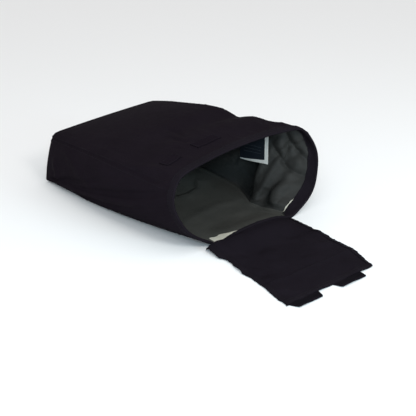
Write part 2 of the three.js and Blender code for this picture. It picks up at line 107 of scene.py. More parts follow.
# Closing flap
FLAP_WIDTH = 250
FLAP_LENGTH = 283
FLAP_CENTRE = -24
FLAP_DRIFT = -41
FLAP_DRIFT_CURVE = 2
FLAP_ROOT = 85
FLAP_CREASE = 205
FLAP_CLOTH = 2.6
FLAP_CLEARANCE = 0.15  # its underside lies this far above the floor
FLAP_LIFT = 1.6  # by how much its soft waves lift it, and their length
FLAP_LIFT_LENGTH = 70
FLAP_EDGE_LIFT = 2.0
FLAP_EDGE_LIFT_LENGTH = 46
FLAP_CREASE_HEIGHT = 1.2
FLAP_CREASE_WIDTH = 5
BINDING_WIDTH = 9
TAB_LENGTH = 20
TAB_CLOTH = 2
TABS = dict(left=dict(root=(-121, -36), tip=(-113, -44)), right=dict(root=(0, 84), tip=(6, 80)))
TAB_OVERLAP = 7
TAB_ROUNDING = 0.12  # share of the tab's half width
TAB_CURL = 1.4  # by how much its tip curls up
TAB_LIFT = 0.9  # by how much its soft waves lift it, and their length
TAB_LIFT_LENGTH = 34
HOOK_MARGIN = 4
HOOK_SHARE = 0.88  # of the tab's width
HOOK_TAPE = 0.7
HOOK_ROWS = 7
HOOK_COLUMNS = 34
HOOK_RADIUS = 0.42
HOOK_HEIGHT = 1.0
LOOP_PLACES = dict(left=-84, right=37)
LOOP_WIDTH = 70
LOOP_FROM_LIP = 66
LOOP_LENGTH = 30
LOOP_CORNER_GAP = 20
LOOP_TOP = 1.9  # heights over the top panel of the strip's two faces and of its stitches
LOOP_UNDER = 0.25
LOOP_STITCH_TOP = 2.0
LOOP_STITCH_MARGIN = 2.0

# Label sewn to the top lining: its corners nearest to the mouth and furthest from it
LABEL_NEAR = (134, 106 - HALF_DEPTH)
LABEL_FAR = (115, 183 - HALF_DEPTH)
LABEL_LOW = 92
LABEL_HEIGHT = 95
LABEL_BORDER_NEAR = 10
LABEL_BORDER_FAR = 2.5
LABEL_SIDE_BORDER = 9
LABEL_BEND = 1.6

# Arm sleeves
SLEEVE_SPACING = 170
SLEEVE_WIDTH = 104
SLEEVE_HEIGHT = 34
SLEEVE_START = HALF_DEPTH + 10.4
SLEEVE_LENGTH = 85
SLEEVE_WAIST = 0.72
SLEEVE_PLEATS = 19
SLEEVE_FINE_PLEATS = 31
SLEEVE_COLUMNS = 200
CUFF_WIDTH = 19
CUFF_FROM_END = 8
CUFF_OUTSET = 3.1  # the cuff's outermost layer stands out this far from the sleeve
ELASTIC_WIDTH = 9
SLEEVE_SIDES = dict(left=-SLEEVE_SPACING / 2, right=SLEEVE_SPACING / 2)
SLEEVE_MIDDLE = 3 + SLEEVE_HEIGHT / 2
PLEAT_DEPTH = 0.05  # as shares of the sleeve's size
FINE_PLEAT_DEPTH = 0.022
SLEEVE_FOLD_DEPTH = 0.05
SLEEVE_COLLAPSE = 0.42
ARMHOLE_SIDES = 48
CUTTER_REACH = 25

# Grid of the draped cloth: rows from the closed end to the rim, columns round the section
ROWS = 104
BROAD = 56
NARROW = 40
SEAM_COLUMNS = 4
COLUMNS = 2 * (BROAD + NARROW)
PANEL_STARTS = dict(bottom=0, right=BROAD, top=BROAD + NARROW, left=2 * BROAD + NARROW + SEAM_COLUMNS)
PANEL_ENDS = dict(bottom=BROAD, right=BROAD + NARROW, top=PANEL_STARTS["left"], left=COLUMNS)


def smooth(share):
    """Eases from 0 to 1 as the share goes from 0 to 1."""
    s = np.clip(share, 0, 1)
    return s * s * (3 - 2 * s)


def gauss(distance, width):
    """A round hump: 1 in the middle and about a third at the width."""
    return np.exp(-((distance / width) ** 2))


def unit(vectors):
    return vectors / np.linalg.norm(vectors, axis=-1, keepdims=True)


def running(steps):
    """The way gone before the first step and after each one."""
    return np.concatenate([[0], np.cumsum(steps)])


def waves(x, y, length, seed, count=12):
    """A smooth random field of about unit height, made of plane waves of about one length."""
    random = np.random.default_rng(seed)
    total = 0
    for _ in range(count):
        angle, phase = random.uniform(0, 2 * math.pi, 2)
        step = 2 * math.pi / (length * random.uniform(0.7, 1.5))
        total = total + np.sin((x * math.cos(angle) + y * math.sin(angle)) * step + phase)
    return total / math.sqrt(count / 2)


# The bag's skin

def station(key, t):
    """One value of the cross-section at t, from 0 at the closed end to 1 at the mouth."""
    near_end = 2 * (t - 0.5) * (t - 1)
    near_middle = 4 * t * (1 - t)
    near_mouth = 2 * t * (t - 0.5)
    return near_end * END[key] + near_middle * MIDDLE[key] + near_mouth * MOUTH[key]


def fold_strength(t):
    """How strongly the right wall's inward fold acts at t."""
    from_fold = BAG_DEPTH * (1 - t) - FOLD_FROM_LIP
    reach = np.where(from_fold < 0, FOLD_FRONT_REACH, FOLD_BACK_REACH)
    return gauss(from_fold, reach) * smooth(BAG_DEPTH * (1 - t) / FOLD_RIM_LENGTH)


def corners(t):
    """x and z of the section's four corners: left foot, right foot, right top, left top."""
    from_lip = BAG_DEPTH * (1 - t)
    tuck = FOLD_FOOT_TUCK * gauss(from_lip - FOLD_FOOT_FROM_LIP, FOLD_FOOT_REACH)
    x = [
        station("left_foot", t),
        station("right_foot", t) - FOLD_FOOT_SHIFT * fold_strength(t) - tuck,
        station("right_top", t),
        station("left_top", t),
    ]
    sag = SHOULDER_SAG * gauss(from_lip - SHOULDER_FROM_LIP, SHOULDER_REACH)
    z = [0 * t, 0 * t, station("right_height", t) - sag, station("left_height", t)]
    return x, z


def sharp_skin(t, q):
    """Points of the outer skin with sharp corners. q goes round once, a unit a side, from the left foot."""
    x, z = corners(t)
    turn = np.mod(q, 4)
    side = np.minimum(turn.astype(int), 3)
    after = (side + 1) % 4
    s = turn - side
    from_x, from_z = np.choose(side, x), np.choose(side, z)
    way_x, way_z = np.choose(after, x) - from_x, np.choose(after, z) - from_z
    length = np.hypot(way_x, way_z)
    along = np.choose(side, [s, s ** RIGHT_LEAN, s, 1 - (1 - s) ** LEFT_LEAN])
    power = np.where(side == 2, TOP_POWER, WALL_POWER)
    right_bow = station("right_bow", t) * (1 - FOLD_BOW_LOSS * fold_strength(t))
    bow = np.choose(side, [0 * t, right_bow, station("top_bow", t), station("left_bow", t)])
    out = bow * (1 - np.abs(2 * along - 1) ** power)
    px = from_x + way_x * s + out * way_z / length
    pz = from_z + way_z * s - out * way_x / length
    lean = np.maximum(pz / LIP_HEIGHT, 0) ** LIP_LEAN
    py = HALF_DEPTH - BAG_DEPTH * t + LIP_SETBACK * lean * smooth((t - LIP_START) / (1 - LIP_START))
    return np.stack([px, py, pz], -1)


def skin(t, q):
    """Points of the outer skin with its corners rounded a little."""
    near = sharp_skin(t, q - CORNER_ROUNDING) + sharp_skin(t, q + CORNER_ROUNDING)
    return (2 * sharp_skin(t, q) + near) / 4


def column_places(t):
    """q of every column at each t, with the top panel's seam on a column of the left wall."""
    x, z = corners(t)
    left_length = np.hypot(x[3] - x[0], z[3] - z[0])
    seam = SEAM_DROP / left_length
    places = [np.full_like(t, j / BROAD) for j in range(BROAD)]
    places += [np.full_like(t, 1 + j / NARROW) for j in range(NARROW)]
    places += [np.full_like(t, 2 + j / BROAD) for j in range(BROAD)]
    places += [3 + seam * j / SEAM_COLUMNS for j in range(SEAM_COLUMNS)]
    rest = NARROW - SEAM_COLUMNS
    places += [3 + seam + (1 - seam) * j / rest for j in range(rest)]
    return np.stack(places, 1)


# Grids of points

def grid_normals(grid, wrap=False):
    """Unit normals of a grid of points, pointing to the same side as rows cross columns."""
    down = np.gradient(grid, axis=0)
    if wrap:
        across = (np.roll(grid, -1, 1) - np.roll(grid, 1, 1)) / 2
    else:
        across = np.gradient(grid, axis=1)
    normal = np.cross(across, down)
    return normal / np.maximum(np.linalg.norm(normal, axis=-1, keepdims=True), 1e-9)


def refine_rows(grid):
    """Doubles the rows with a smooth curve through the old ones."""
    before = np.concatenate([2 * grid[:1] - grid[1:2], grid[:-2]])
    after = np.concatenate([grid[2:], 2 * grid[-1:] - grid[-2:-1]])
    middles = (9 * (grid[:-1] + grid[1:]) - before - after) / 16
    fine = np.empty((2 * len(grid) - 1,) + grid.shape[1:])
    fine[0::2] = grid
    fine[1::2] = middles
    return fine


def refine_ring(grid):
    """Doubles the columns of a grid that closes on itself."""
    grid = np.swapaxes(grid, 0, 1)
    ring = np.concatenate([grid[-2:], grid, grid[:2]])
    fine = refine_rows(ring)[4:4 + 2 * len(grid)]
    return np.swapaxes(fine, 0, 1)


def refine_columns(grid):
    return np.swapaxes(refine_rows(np.swapaxes(grid, 0, 1)), 0, 1)


# Meshes

SHARP_ANGLE = math.radians(55)


def link(obj):
    bpy.context.scene.collection.objects.link(obj)
    return obj


def mesh_object(name, points, faces, uv=None, material=None):
    """A smooth-shaded object from points in millimetres. uv holds a pair in metres for each point."""
    mesh = bpy.data.meshes.new(name)
    mesh.from_pydata((np.asarray(points) * MM).tolist(), [], faces)
    if uv is not None:
        layer = mesh.uv_layers.new(name="cloth")
        loop_points = np.zeros(len(mesh.loops), np.int32)
        mesh.loops.foreach_get("vertex_index", loop_points)
        layer.data.foreach_set("uv", np.asarray(uv)[loop_points].astype(np.float32).ravel())
    mesh.polygons.foreach_set("use_smooth", [True] * len(mesh.polygons))
    mesh.set_sharp_from_angle(angle=SHARP_ANGLE)
    obj = link(bpy.data.objects.new(name, mesh))
    if material is not None:
        mesh.materials.append(material)
    return obj


def index_grid(rows, columns, *closed):
    """Indices of a grid's points. Along each axis in closed the first ones come once more at the end."""
    at = np.arange(rows * columns).reshape(rows, columns)
    for axis in closed:
        at = np.concatenate([at, at.take([0], axis)], axis)
    return at


def quads(at, turned=False):
    """Faces between a grid's neighbouring points, facing the other way if turned."""
    a, b, c, d = at[:-1, :-1], at[:-1, 1:], at[1:, 1:], at[1:, :-1]
    return np.stack([a, d, c, b] if turned else [a, b, c, d], -1).reshape(-1, 4)


def shell_faces(rows, columns, wrap):
    """Faces of a closed sheet whose outer points come first, then as many inner ones."""
    layer = rows * columns
    at = index_grid(rows, columns, 1) if wrap else index_grid(rows, columns)
    rims = []
    edges = [(at[0], False), (at[-1], True)]
    if not wrap:
        edges += [(at[:, 0], True), (at[:, -1], False)]
    for edge, turned in edges:
        p, q = edge[:-1], edge[1:]
        rim = np.stack([p, p + layer, q + layer, q], -1)
        rims.append(rim[:, ::-1] if turned else rim)
    return np.concatenate([quads(at), quads(at, turned=True) + layer, *rims]).tolist()


def pairs(u, v):
    """Every pair of a value of u and one of v, row by row."""
    return np.stack(np.meshgrid(u, v), -1).reshape(-1, 2)


def surface_uv(grid):
    """Places on the cloth in metres: columns across, rows along."""
    across = np.linalg.norm(np.diff(grid, axis=1), axis=-1).mean(0)
    along = np.linalg.norm(np.diff(grid, axis=0), axis=-1).mean(1)
    return pairs(running(across) * MM, running(along) * MM)


def cloth_sheet(name, outer, inner, material, wrap=False):
    """A closed thin sheet between two grids of points."""
    rows, columns = outer.shape[:2]
    points = np.concatenate([outer.reshape(-1, 3), inner.reshape(-1, 3)])
    uv = surface_uv(outer)
    return mesh_object(name, points, shell_faces(rows, columns, wrap), np.concatenate([uv, uv]), material)


# Materials

WAVE_TURN = 20  # a wave texture at scale 1 turns through this many radians in a metre
ROUGHNESS_SPREAD = 0.08


def new_material(name):
    material = bpy.data.materials.new(name)
    material.use_nodes = True
    tree = material.node_tree
    return material, tree.nodes, tree.links, tree.nodes["Principled BSDF"]


def add_node(nodes, kind, **values):
    """A shader node with values for its settings and its sockets, an underscore for each space."""
    node = nodes.new(kind)
    for key, value in values.items():
        if hasattr(node, key):
            setattr(node, key, value)
        else:
            node.inputs[key.replace("_", " ")].default_value = value
    return node


def fade(nodes, links, place, color, gain, start, end):
    """Brightens a colour by a gain, little by little between two places along y: painted light."""
    split = add_node(nodes, "ShaderNodeSeparateXYZ")
    links.new(place.outputs["Object"], split.inputs["Vector"])
    amount = add_node(nodes, "ShaderNodeMapRange", interpolation_type="SMOOTHSTEP",
                      From_Min=start, From_Max=end, To_Min=1.0, To_Max=gain)
    links.new(split.outputs["Y"], amount.inputs["Value"])
    brighter = add_node(nodes, "ShaderNodeVectorMath", operation="SCALE")
    links.new(color, brighter.inputs["Vector"])
    links.new(amount.outputs["Result"], brighter.inputs["Scale"])
    return brighter.outputs["Vector"]


def cloth_material(name, dark, light, roughness, gloss, weave=0.0006, weave_depth=0.35, painted_light=None):
    """Woven cloth: two crossing sets of threads, slow changes of tone, a faint gloss and, where painted_light
    is given, painted light along y.
    """
    material, nodes, links, shader = new_material(name)
    place = add_node(nodes, "ShaderNodeTexCoord")
    shade = add_node(nodes, "ShaderNodeTexNoise", Scale=9.0, Detail=6.0, Roughness=0.6)
    links.new(place.outputs["Object"], shade.inputs["Vector"])
    ramp = add_node(nodes, "ShaderNodeValToRGB")
    ramp.color_ramp.elements[0].position = 0.3
    ramp.color_ramp.elements[1].position = 0.75
    ramp.color_ramp.elements[0].color = (*dark, 1)
    ramp.color_ramp.elements[1].color = (*light, 1)
    links.new(shade.outputs["Fac"], ramp.inputs["Fac"])
    color = ramp.outputs["Color"]
    # Painted light: the colour is brightened along y, deeper inside the bag
    if painted_light:
        color = fade(nodes, links, place, color, *painted_light)
    links.new(color, shader.inputs["Base Color"])
    threads = []
    for direction in ("X", "Y"):
        wave = add_node(nodes, "ShaderNodeTexWave", wave_type="BANDS", bands_direction=direction,
                        Distortion=0.6, Detail=1.0, Scale=1 / weave / WAVE_TURN)
        links.new(place.outputs["UV"], wave.inputs["Vector"])
        threads.append(wave)
    crossing = add_node(nodes, "ShaderNodeMath", operation="MULTIPLY")
    for k, wave in enumerate(threads):
        links.new(wave.outputs["Fac"], crossing.inputs[k])
    rough_noise = add_node(nodes, "ShaderNodeTexNoise", Scale=60.0, Detail=4.0, Roughness=0.6)
    links.new(place.outputs["Object"], rough_noise.inputs["Vector"])
    spread = add_node(nodes, "ShaderNodeMapRange", To_Min=roughness - ROUGHNESS_SPREAD,
                      To_Max=roughness + ROUGHNESS_SPREAD)
    links.new(rough_noise.outputs["Fac"], spread.inputs["Value"])
    links.new(spread.outputs["Result"], shader.inputs["Roughness"])
    fine = add_node(nodes, "ShaderNodeBump", Strength=weave_depth, Distance=0.0004)
    links.new(crossing.outputs["Value"], fine.inputs["Height"])
    soft = add_node(nodes, "ShaderNodeBump", Strength=0.25, Distance=0.0012)
    links.new(rough_noise.outputs["Fac"], soft.inputs["Height"])
    links.new(fine.outputs["Normal"], soft.inputs["Normal"])
    links.new(soft.outputs["Normal"], shader.inputs["Normal"])
    shader.inputs["Specular IOR Level"].default_value = gloss
    return material


# Painted light: the lining is brightened deeper inside the bag, where the lamps reach little. Its gain in
# brightness, and the start and end of the change along y
FLOOR_PAINTED_LIGHT = (2.6, -0.05, 0.07)
WALL_PAINTED_LIGHT = (2.3, -0.125, -0.04)

# Each cloth: its darkest and lightest colour, its roughness and gloss, then the size and depth of its weave
CLOTHS = dict(
    outer=("outer_cloth", (0.0085, 0.0062, 0.0090), (0.0108, 0.0080, 0.0115), 0.8, 0.01),
    flap=("flap_cloth", (0.0086, 0.0068, 0.0096), (0.0110, 0.0088, 0.0122), 0.8, 0.01),
    facing=("facing_cloth", (0.0084, 0.0066, 0.0092), (0.0110, 0.0087, 0.0121), 0.8, 0.02),
    tape=("binding_tape", (0.0078, 0.0062, 0.0086), (0.0114, 0.0091, 0.0124), 0.8, 0.02, 0.0012, 0.6),
    lining=("lining_cloth", (0.044, 0.044, 0.040), (0.062, 0.061, 0.055), 0.5, 0.2, 0.0008, 0.2, FLOOR_PAINTED_LIGHT),
    # The right wall's lining is a darker copy of the lining, which is painted shade, and it is brightened
    # deeper inside the bag, which is painted light
    painted_shade_lining=("painted_shade_lining_cloth", (0.0175, 0.0178, 0.0172), (0.030, 0.030, 0.0285), 0.55, 0.1,
                 0.0008, 0.2, WALL_PAINTED_LIGHT),
    # A pale strip painted where the lining catches the light at its turned-up edge: a painted highlight
    edge=("lining_painted_highlight", (0.42, 0.40, 0.33), (0.62, 0.60, 0.52), 0.7, 0.1, 0.0008, 0.2),
    white=("label_white", (0.55, 0.55, 0.52), (0.72, 0.72, 0.69), 0.8, 0.1, 0.0009, 0.5),
    label_thread=("label_thread", (0.05, 0.06, 0.07), (0.10, 0.11, 0.12), 0.7, 0.05, 0.0005, 0.2),
    thread=("thread", (0.010, 0.009, 0.012), (0.016, 0.014, 0.018), 0.6, 0.05, 0.0005, 0.2),
    hooks=("hook_tape", (0.006, 0.005, 0.0068), (0.009, 0.0075, 0.010), 0.7, 0.02, 0.0015, 0.5),
    loops=("loop_tape", (0.0087, 0.0064, 0.0092), (0.0111, 0.0083, 0.0118), 0.95, 0.0, 0.0013, 0.5),
    black_label=("label_black", (0.009, 0.012, 0.017), (0.013, 0.0175, 0.024), 0.7, 0.05, 0.0009, 0.5),
)
MATERIALS = {key: cloth_material(*look) for key, look in CLOTHS.items()}


# The draped bag: the skin's grid and the patch over the closed end

def crest_height(crest, x):
    """Height of a crest at x, rounded off between its places."""
    places, heights = np.transpose(crest)
    steps = (-CREST_ROUNDING, 0, CREST_ROUNDING)
    return sum(np.interp(x + step, places, heights) for step in steps) / 3


def lift_lip(points, from_lip):
    """Raises the bottom panel's front edge and carries it forward."""
    x, _, z = np.moveaxis(points, -1, 0)
    near_floor = np.clip(1 - z / LIP_CLOTH_HEIGHT, 0, 1) ** 2
    along = np.cos(np.clip(from_lip / HUMP_LENGTH, 0, 1) * math.pi / 2) ** 2
    height = crest_height(LIP_CREST, x)
    lifted = points.copy()
    lifted[..., 2] += height * near_floor * along
    lifted[..., 1] -= LIP_FORWARD * height / LIP_HIGHEST * near_floor * along
    return lifted


def tube_grid():
    t = np.linspace(0, 1, ROWS + 1)
    q = column_places(t)
    t = np.repeat(t[:, None], COLUMNS, 1)
    return lift_lip(skin(t, q), BAG_DEPTH * (1 - t))


def patch_indices():
    """Indices in the tube's first row of the patch's edges, and new ones for its inner points."""
    index = np.full((NARROW + 1, BROAD + 1), -1)
    index[0, :] = np.arange(BROAD + 1)
    index[:, BROAD] = BROAD + np.arange(NARROW + 1)
    index[NARROW, :] = BROAD + NARROW + np.arange(BROAD, -1, -1)
    index[:, 0] = (2 * BROAD + NARROW + np.arange(NARROW, -1, -1)) % COLUMNS
    inner = index < 0
    index[inner] = (ROWS + 1) * COLUMNS + np.arange(inner.sum())
    return index


def end_patch(edge_points, index):
    """The closed end's points, spanned between its four edges and bulging out a little."""
    u = np.linspace(0, 1, BROAD + 1)[None, :, None]
    v = np.linspace(0, 1, NARROW + 1)[:, None, None]
    foot, crest = edge_points[index[0]][None], edge_points[index[NARROW]][None]
    left, right = edge_points[index[:, 0]][:, None], edge_points[index[:, BROAD]][:, None]
    patch = foot * (1 - v) + crest * v + left * (1 - u) + right * u
    patch = patch - foot[:, :1] * (1 - u) * (1 - v) - foot[:, -1:] * u * (1 - v)
    patch = patch - crest[:, :1] * (1 - u) * v - crest[:, -1:] * u * v
    patch[..., 1] += END_BOW * (16 * u * (1 - u) * v * (1 - v))[..., 0]
    return patch


# How the cloth is let settle: it is cut a little larger than the form it lies in, so it buckles into folds
SPARE_CLOTH = (1.10, 1.10, 1.08)
SETTLE_FRAMES = 30
HOLD_FREE = 0.08
HOLD_EDGE = 0.9
MOST_SHIFT = 16
SAG_REACH = 9  # in cells: what is slower than this is sag, and is left out
END_FOLD_MOST = 7
FOLD_EASE = 8  # in cells: the folds fade out over this reach at the closed end's edges
CUT_SEED = 4
CUT_UNEVENNESS = 0.5
RIM_ROWS_HELD = 4


def settle(points, faces, cut_points, hold):
    """Lets cloth cut to cut_points settle from points. hold says how firmly each point is held back."""
    mesh = bpy.data.meshes.new("settling")
    mesh.from_pydata((points * MM).tolist(), [], faces.tolist())
    obj = link(bpy.data.objects.new("settling", mesh))
    obj.shape_key_add(name="start")
    cut = obj.shape_key_add(name="cut")
    cut.data.foreach_set("co", (cut_points * MM).astype(np.float32).ravel())
    held = obj.vertex_groups.new(name="held")
    levels = np.round(hold, 2)
    for level in np.unique(levels):
        held.add(np.flatnonzero(levels == level).tolist(), float(level), "REPLACE")
    cloth = obj.modifiers.new("cloth", "CLOTH")
    settings = cloth.settings
    settings.quality = 5
    settings.mass = 0.05
    settings.tension_stiffness = settings.compression_stiffness = 20
    settings.shear_stiffness = 8
    settings.bending_stiffness = 0.05
    settings.tension_damping = settings.compression_damping = 5
    settings.air_damping = 1
    settings.vertex_group_mass = "held"
    settings.pin_stiffness = 1.0
    settings.rest_shape_key = cut
    settings.effector_weights.gravity = 0.3
    cloth.collision_settings.use_collision = False
    cloth.point_cache.frame_start = 1
    cloth.point_cache.frame_end = SETTLE_FRAMES
    scene = bpy.context.scene
    for number in range(1, SETTLE_FRAMES + 1):
        scene.frame_set(number)
    settled = obj.evaluated_get(bpy.context.evaluated_depsgraph_get()).to_mesh()
    found = np.zeros(len(points) * 3, np.float32)
    settled.vertices.foreach_get("co", found)
    scene.frame_set(1)
    bpy.data.objects.remove(obj)
    bpy.data.meshes.remove(mesh)
    return found.reshape(-1, 3) / MM


def limited(points, start, most):
    """The settled points, none further than most from where it started."""
    shift = points - start
    length = np.linalg.norm(shift, axis=-1, keepdims=True)
    return start + shift * most * np.tanh(length / most) / np.maximum(length, 1e-9)


def blurred(field, reach):
    """A field over the tube's grid averaged over a reach in cells, closed round the section."""
    steps = np.arange(-2 * reach, 2 * reach + 1)
    weights = gauss(steps, reach)
    weights /= weights.sum()
    around = sum(weight * np.roll(field, step, 1) for weight, step in zip(weights, steps))
    rows = np.clip(np.arange(len(field))[:, None] + steps, 0, len(field) - 1)
    return (around[rows] * weights[None, :, None, None]).sum(1)


def tube_folds(shift):
    """The tube's settled folds without the slow sag, fading out at the closed end."""
    shift = shift - blurred(shift, SAG_REACH)
    return shift * smooth(np.arange(ROWS + 1) / FOLD_EASE)[:, None, None]


def end_folds(patch, shift):
    """The closed end's settled folds, out and in only, fading out at its edges and at the armholes."""
    from_side = np.minimum(np.arange(BROAD + 1), np.arange(BROAD, -1, -1))
    from_foot = np.minimum(np.arange(NARROW + 1), np.arange(NARROW, -1, -1))
    calm = smooth(np.minimum(from_side[None], from_foot[:, None]) / FOLD_EASE)
    for x in SLEEVE_SIDES.values():
        across = (patch[..., 0] - x) / SLEEVE_WIDTH
        up = (patch[..., 2] - SLEEVE_MIDDLE) / SLEEVE_HEIGHT
        calm = calm * smooth(2 * np.hypot(across, up) - 1.2)
    out = shift[..., 1] * calm
    for axis in (0, 0, 1, 1):
        out = (np.roll(out, 1, axis) + 2 * out + np.roll(out, -1, axis)) / 4
    return np.stack([0 * out, END_FOLD_MOST * np.tanh(out / END_FOLD_MOST), 0 * out], -1)


def drape():
    """The bag's cloth as a grid for the tube and one for the closed end, in millimetres."""
    tube = tube_grid()
    index = patch_indices()
    patch = end_patch(tube[0], index)
    size = (ROWS + 1) * COLUMNS
    start = np.zeros((index.max() + 1, 3))
    start[:size] = tube.reshape(-1, 3)
    start[index] = patch
    faces = np.concatenate([quads(index_grid(ROWS + 1, COLUMNS, 1)), quads(index, turned=True)])
    random = np.random.default_rng(CUT_SEED)
    cut = start * SPARE_CLOTH + random.normal(0, CUT_UNEVENNESS, start.shape)
    hold = np.full(len(start), HOLD_FREE)
    grid_hold = hold[:size].reshape(ROWS + 1, COLUMNS)
    grid_hold[-RIM_ROWS_HELD:] = HOLD_EDGE
    grid_hold[:, 1:BROAD] = HOLD_EDGE
    settled = limited(settle(start, faces, cut, hold), start, MOST_SHIFT)
    shift = settled - start
    tube = tube + tube_folds(shift[:size].reshape(tube.shape))
    patch = patch + end_folds(patch, shift[index])
    tube[..., 2] = np.maximum(tube[..., 2], 0)
    patch[..., 2] = np.maximum(patch[..., 2], 0)
    return tube, patch


# Folds and wrinkles. Each has a width, a height by which it stands inwards, or outwards if negative, and a
# line of places: the distance behind the lip, and the way round the section from 0 to 4.
FOLDS = [
    # Inside the mouth, above the fold of the right wall
    (6, -7, [(90, 1.78), (71, 1.66), (58, 1.56), (47, 1.48), (34, 1.45), (20, 1.44)]),
    (7, -9, [(52, 1.98), (51, 1.8), (51, 1.66), (54, 1.52)]),
    (6, -7, [(50, 1.88), (40, 1.73), (24, 1.62)]),
    (9, 4, [(68, 1.84), (64, 1.72), (62, 1.62)]),
    (8, 4, [(40, 1.88), (28, 1.76), (20, 1.68)]),
    (8, 3, [(42, 1.62), (30, 1.54), (20, 1.52)]),
    (15, -10, [(86, 0.98), (84, 1.1), (79, 1.24)]),
    # Across the floor: two soft swells and a thin one along the foot of the wall
    (22, 2.4, [(92, 0.94), (86, 0.72), (72, 0.5), (50, 0.3)]),
    (16, 2.2, [(150, 0.9), (160, 0.68), (150, 0.45), (132, 0.22)]),
    (3.5, 2.5, [(107, 0.976), (57, 0.9), (17, 0.862)]),
    # On the top, behind the loop strips
    (7, 3.5, [(262, 2.58), (238, 2.56), (208, 2.55), (152, 2.62)]),
    (6, 3, [(216, 2.65), (182, 2.65), (136, 2.67), (108, 2.66)]),
    (6, 2.5, [(134, 2.75), (100, 2.75)]),
    # On the left wall, towards the closed end
    (16, -6, [(500, 3.14), (422, 3.3), (378, 3.44), (300, 3.66)]),
    (13, -5, [(530, 3.4), (488, 3.88)]),
    (15, -4, [(400, 3.16), (288, 3.2), (190, 3.34)]),
    # On the right wall, spreading from its fold
    (11, -6, [(108, 1.86), (165, 1.72), (235, 1.6)]),
    (11, -6, [(108, 1.5), (170, 1.42), (250, 1.36)]),
    (10, -5, [(108, 1.2), (160, 1.16), (225, 1.22)]),
    (14, -5, [(500, 1.25), (440, 1.4), (370, 1.55)]),
]
FOLD_FREE_RIM = 24  # the folds ease out to nothing over this length at the rim

# A crease across the floor: it rises slowly from the mouth's side and drops steeply behind
FLOOR_CREASE = [(262, 0.2), (262, 0.46), (256, 0.6), (270, 0.72), (330, 0.86)]
CREASE_HEIGHT = 3.4
CREASE_RISE = 26
CREASE_DROP = 7
CREASE_EASE = 0.12  # share of its length over which it starts and ends

# The lower right of the mouth bulges inwards from this line towards the rim
BULGE_EDGE = [(52, 1.0), (68, 1.08), (70, 1.19), (62, 1.26), (54, 1.31), (44, 1.34), (26, 1.37), (8, 1.38)]
BULGE_HEIGHT = 13
BULGE_STEEPNESS = 9
BULGE_REACH = 36
BULGE_LOSS = 0.65  # share of its height that it has lost at the line's far end


# Places on the draped bag

def column_at(q):
    """The fine column at a way q round the section."""
    places = (0, 1, 2, 3, 3.1, 4)
    columns = (0, BROAD, BROAD + NARROW, 2 * BROAD + NARROW, PANEL_STARTS["left"], COLUMNS)
    return 2 * np.interp(q, places, columns)


def way_round(column):
    """The way round the section at a fine column."""
    q = np.linspace(0, 4, 401)
    return np.interp(column, column_at(q), q)


class Drape:
    """The draped cloth as a fine grid, with ways to find places on it."""

    def __init__(self, tube, patch):
        self.grid = refine_ring(refine_rows(tube))
        self.normals = grid_normals(self.grid, wrap=True)
        self.grid = self.grid - self.normals * self.fold_relief()[..., None]
        self.normals = grid_normals(self.grid, wrap=True)
        self.end = refine_columns(refine_rows(patch))[:, ::-1]

    def at(self, from_lip, column, outset=0):
        """Points at distances behind the lip and at fine columns, both of which may be fractions."""
        rows = len(self.grid)
        row = np.asarray((1 - np.asarray(from_lip) / BAG_DEPTH) * (rows - 1), float)
        column = np.asarray(column, float)
        row, column = np.broadcast_arrays(row, column)
        i = np.clip(np.floor(row).astype(int), 0, rows - 2)
        j = np.floor(column).astype(int)
        u, v = (row - i)[..., None], (column - j)[..., None]
        points = self.blend(self.grid, i, j, u, v)
        normals = unit(self.blend(self.normals, i, j, np.clip(u, 0, 1), v))
        return points + normals * np.asarray(outset)[..., None]

    def near_line(self, line):
        """Each grid point's distance from a line of places, its side of it and its share of the way along."""
        share = np.linspace(0, 1, 60)
        knots = np.linspace(0, 1, len(line))
        behind, q = np.transpose(line)
        path = self.at(np.interp(share, knots, behind), column_at(np.interp(share, knots, q)))
        nearest = ((path ** 2).sum(-1) - 2 * self.grid @ path.T).argmin(-1)
        away = self.grid - path[nearest]
        side = (np.cross(np.gradient(path, axis=0)[nearest], away) * self.normals).sum(-1)
        return np.linalg.norm(away, axis=-1), np.sign(side), share[nearest]

    def fold_relief(self):
        """How far each point of the grid stands inwards in a fold."""
        relief = np.zeros(self.grid.shape[:2])
        for width, height, line in FOLDS:
            distance, _, share = self.near_line(line)
            ends = np.sin(math.pi * np.clip(share, 0.02, 0.98)) ** 0.6
            relief += height * gauss(distance, width) * ends
        distance, side, share = self.near_line(FLOOR_CREASE)
        width = np.where(side > 0, CREASE_RISE, CREASE_DROP)
        ends = smooth(np.minimum(share, 1 - share) / CREASE_EASE)
        relief += CREASE_HEIGHT * gauss(distance, width) * ends
        distance, side, share = self.near_line(BULGE_EDGE)
        distance = distance * side
        fall = gauss(np.maximum(distance, 0), BULGE_REACH)
        steepness = BULGE_STEEPNESS * (0.6 + share)
        rise = smooth((distance + steepness) / (2 * steepness))
        bulge = BULGE_HEIGHT * (1 - BULGE_LOSS * share) * rise * fall
        columns = np.arange(relief.shape[1])
        on_wall = smooth((columns - 2 * BROAD) / 6) * (columns < 2 * PANEL_ENDS["right"])
        relief += bulge * on_wall
        behind = np.linspace(BAG_DEPTH, 0, len(relief))
        return relief * smooth(behind / FOLD_FREE_RIM)[:, None]

    @staticmethod
    def blend(values, i, j, u, v):
        near, far = j % values.shape[1], (j + 1) % values.shape[1]
        return ((values[i, near] * (1 - v) + values[i, far] * v) * (1 - u)
                + (values[i + 1, near] * (1 - v) + values[i + 1, far] * v) * u)

    def normal_at(self, from_lip, column):
        return unit(self.at(from_lip, column, 1.0) - self.at(from_lip, column))

    def sewn(self, from_lip, column, height):
        """A line of stitches at a height over the cloth: its path and normals."""
        return self.at(from_lip, column, height), self.normal_at(from_lip, column)


# The bag's panels

OUTER_NODES = dict(bottom="outer_bottom_panel", right="outer_right_gusset", top="outer_top_panel",
                   left="outer_left_gusset")
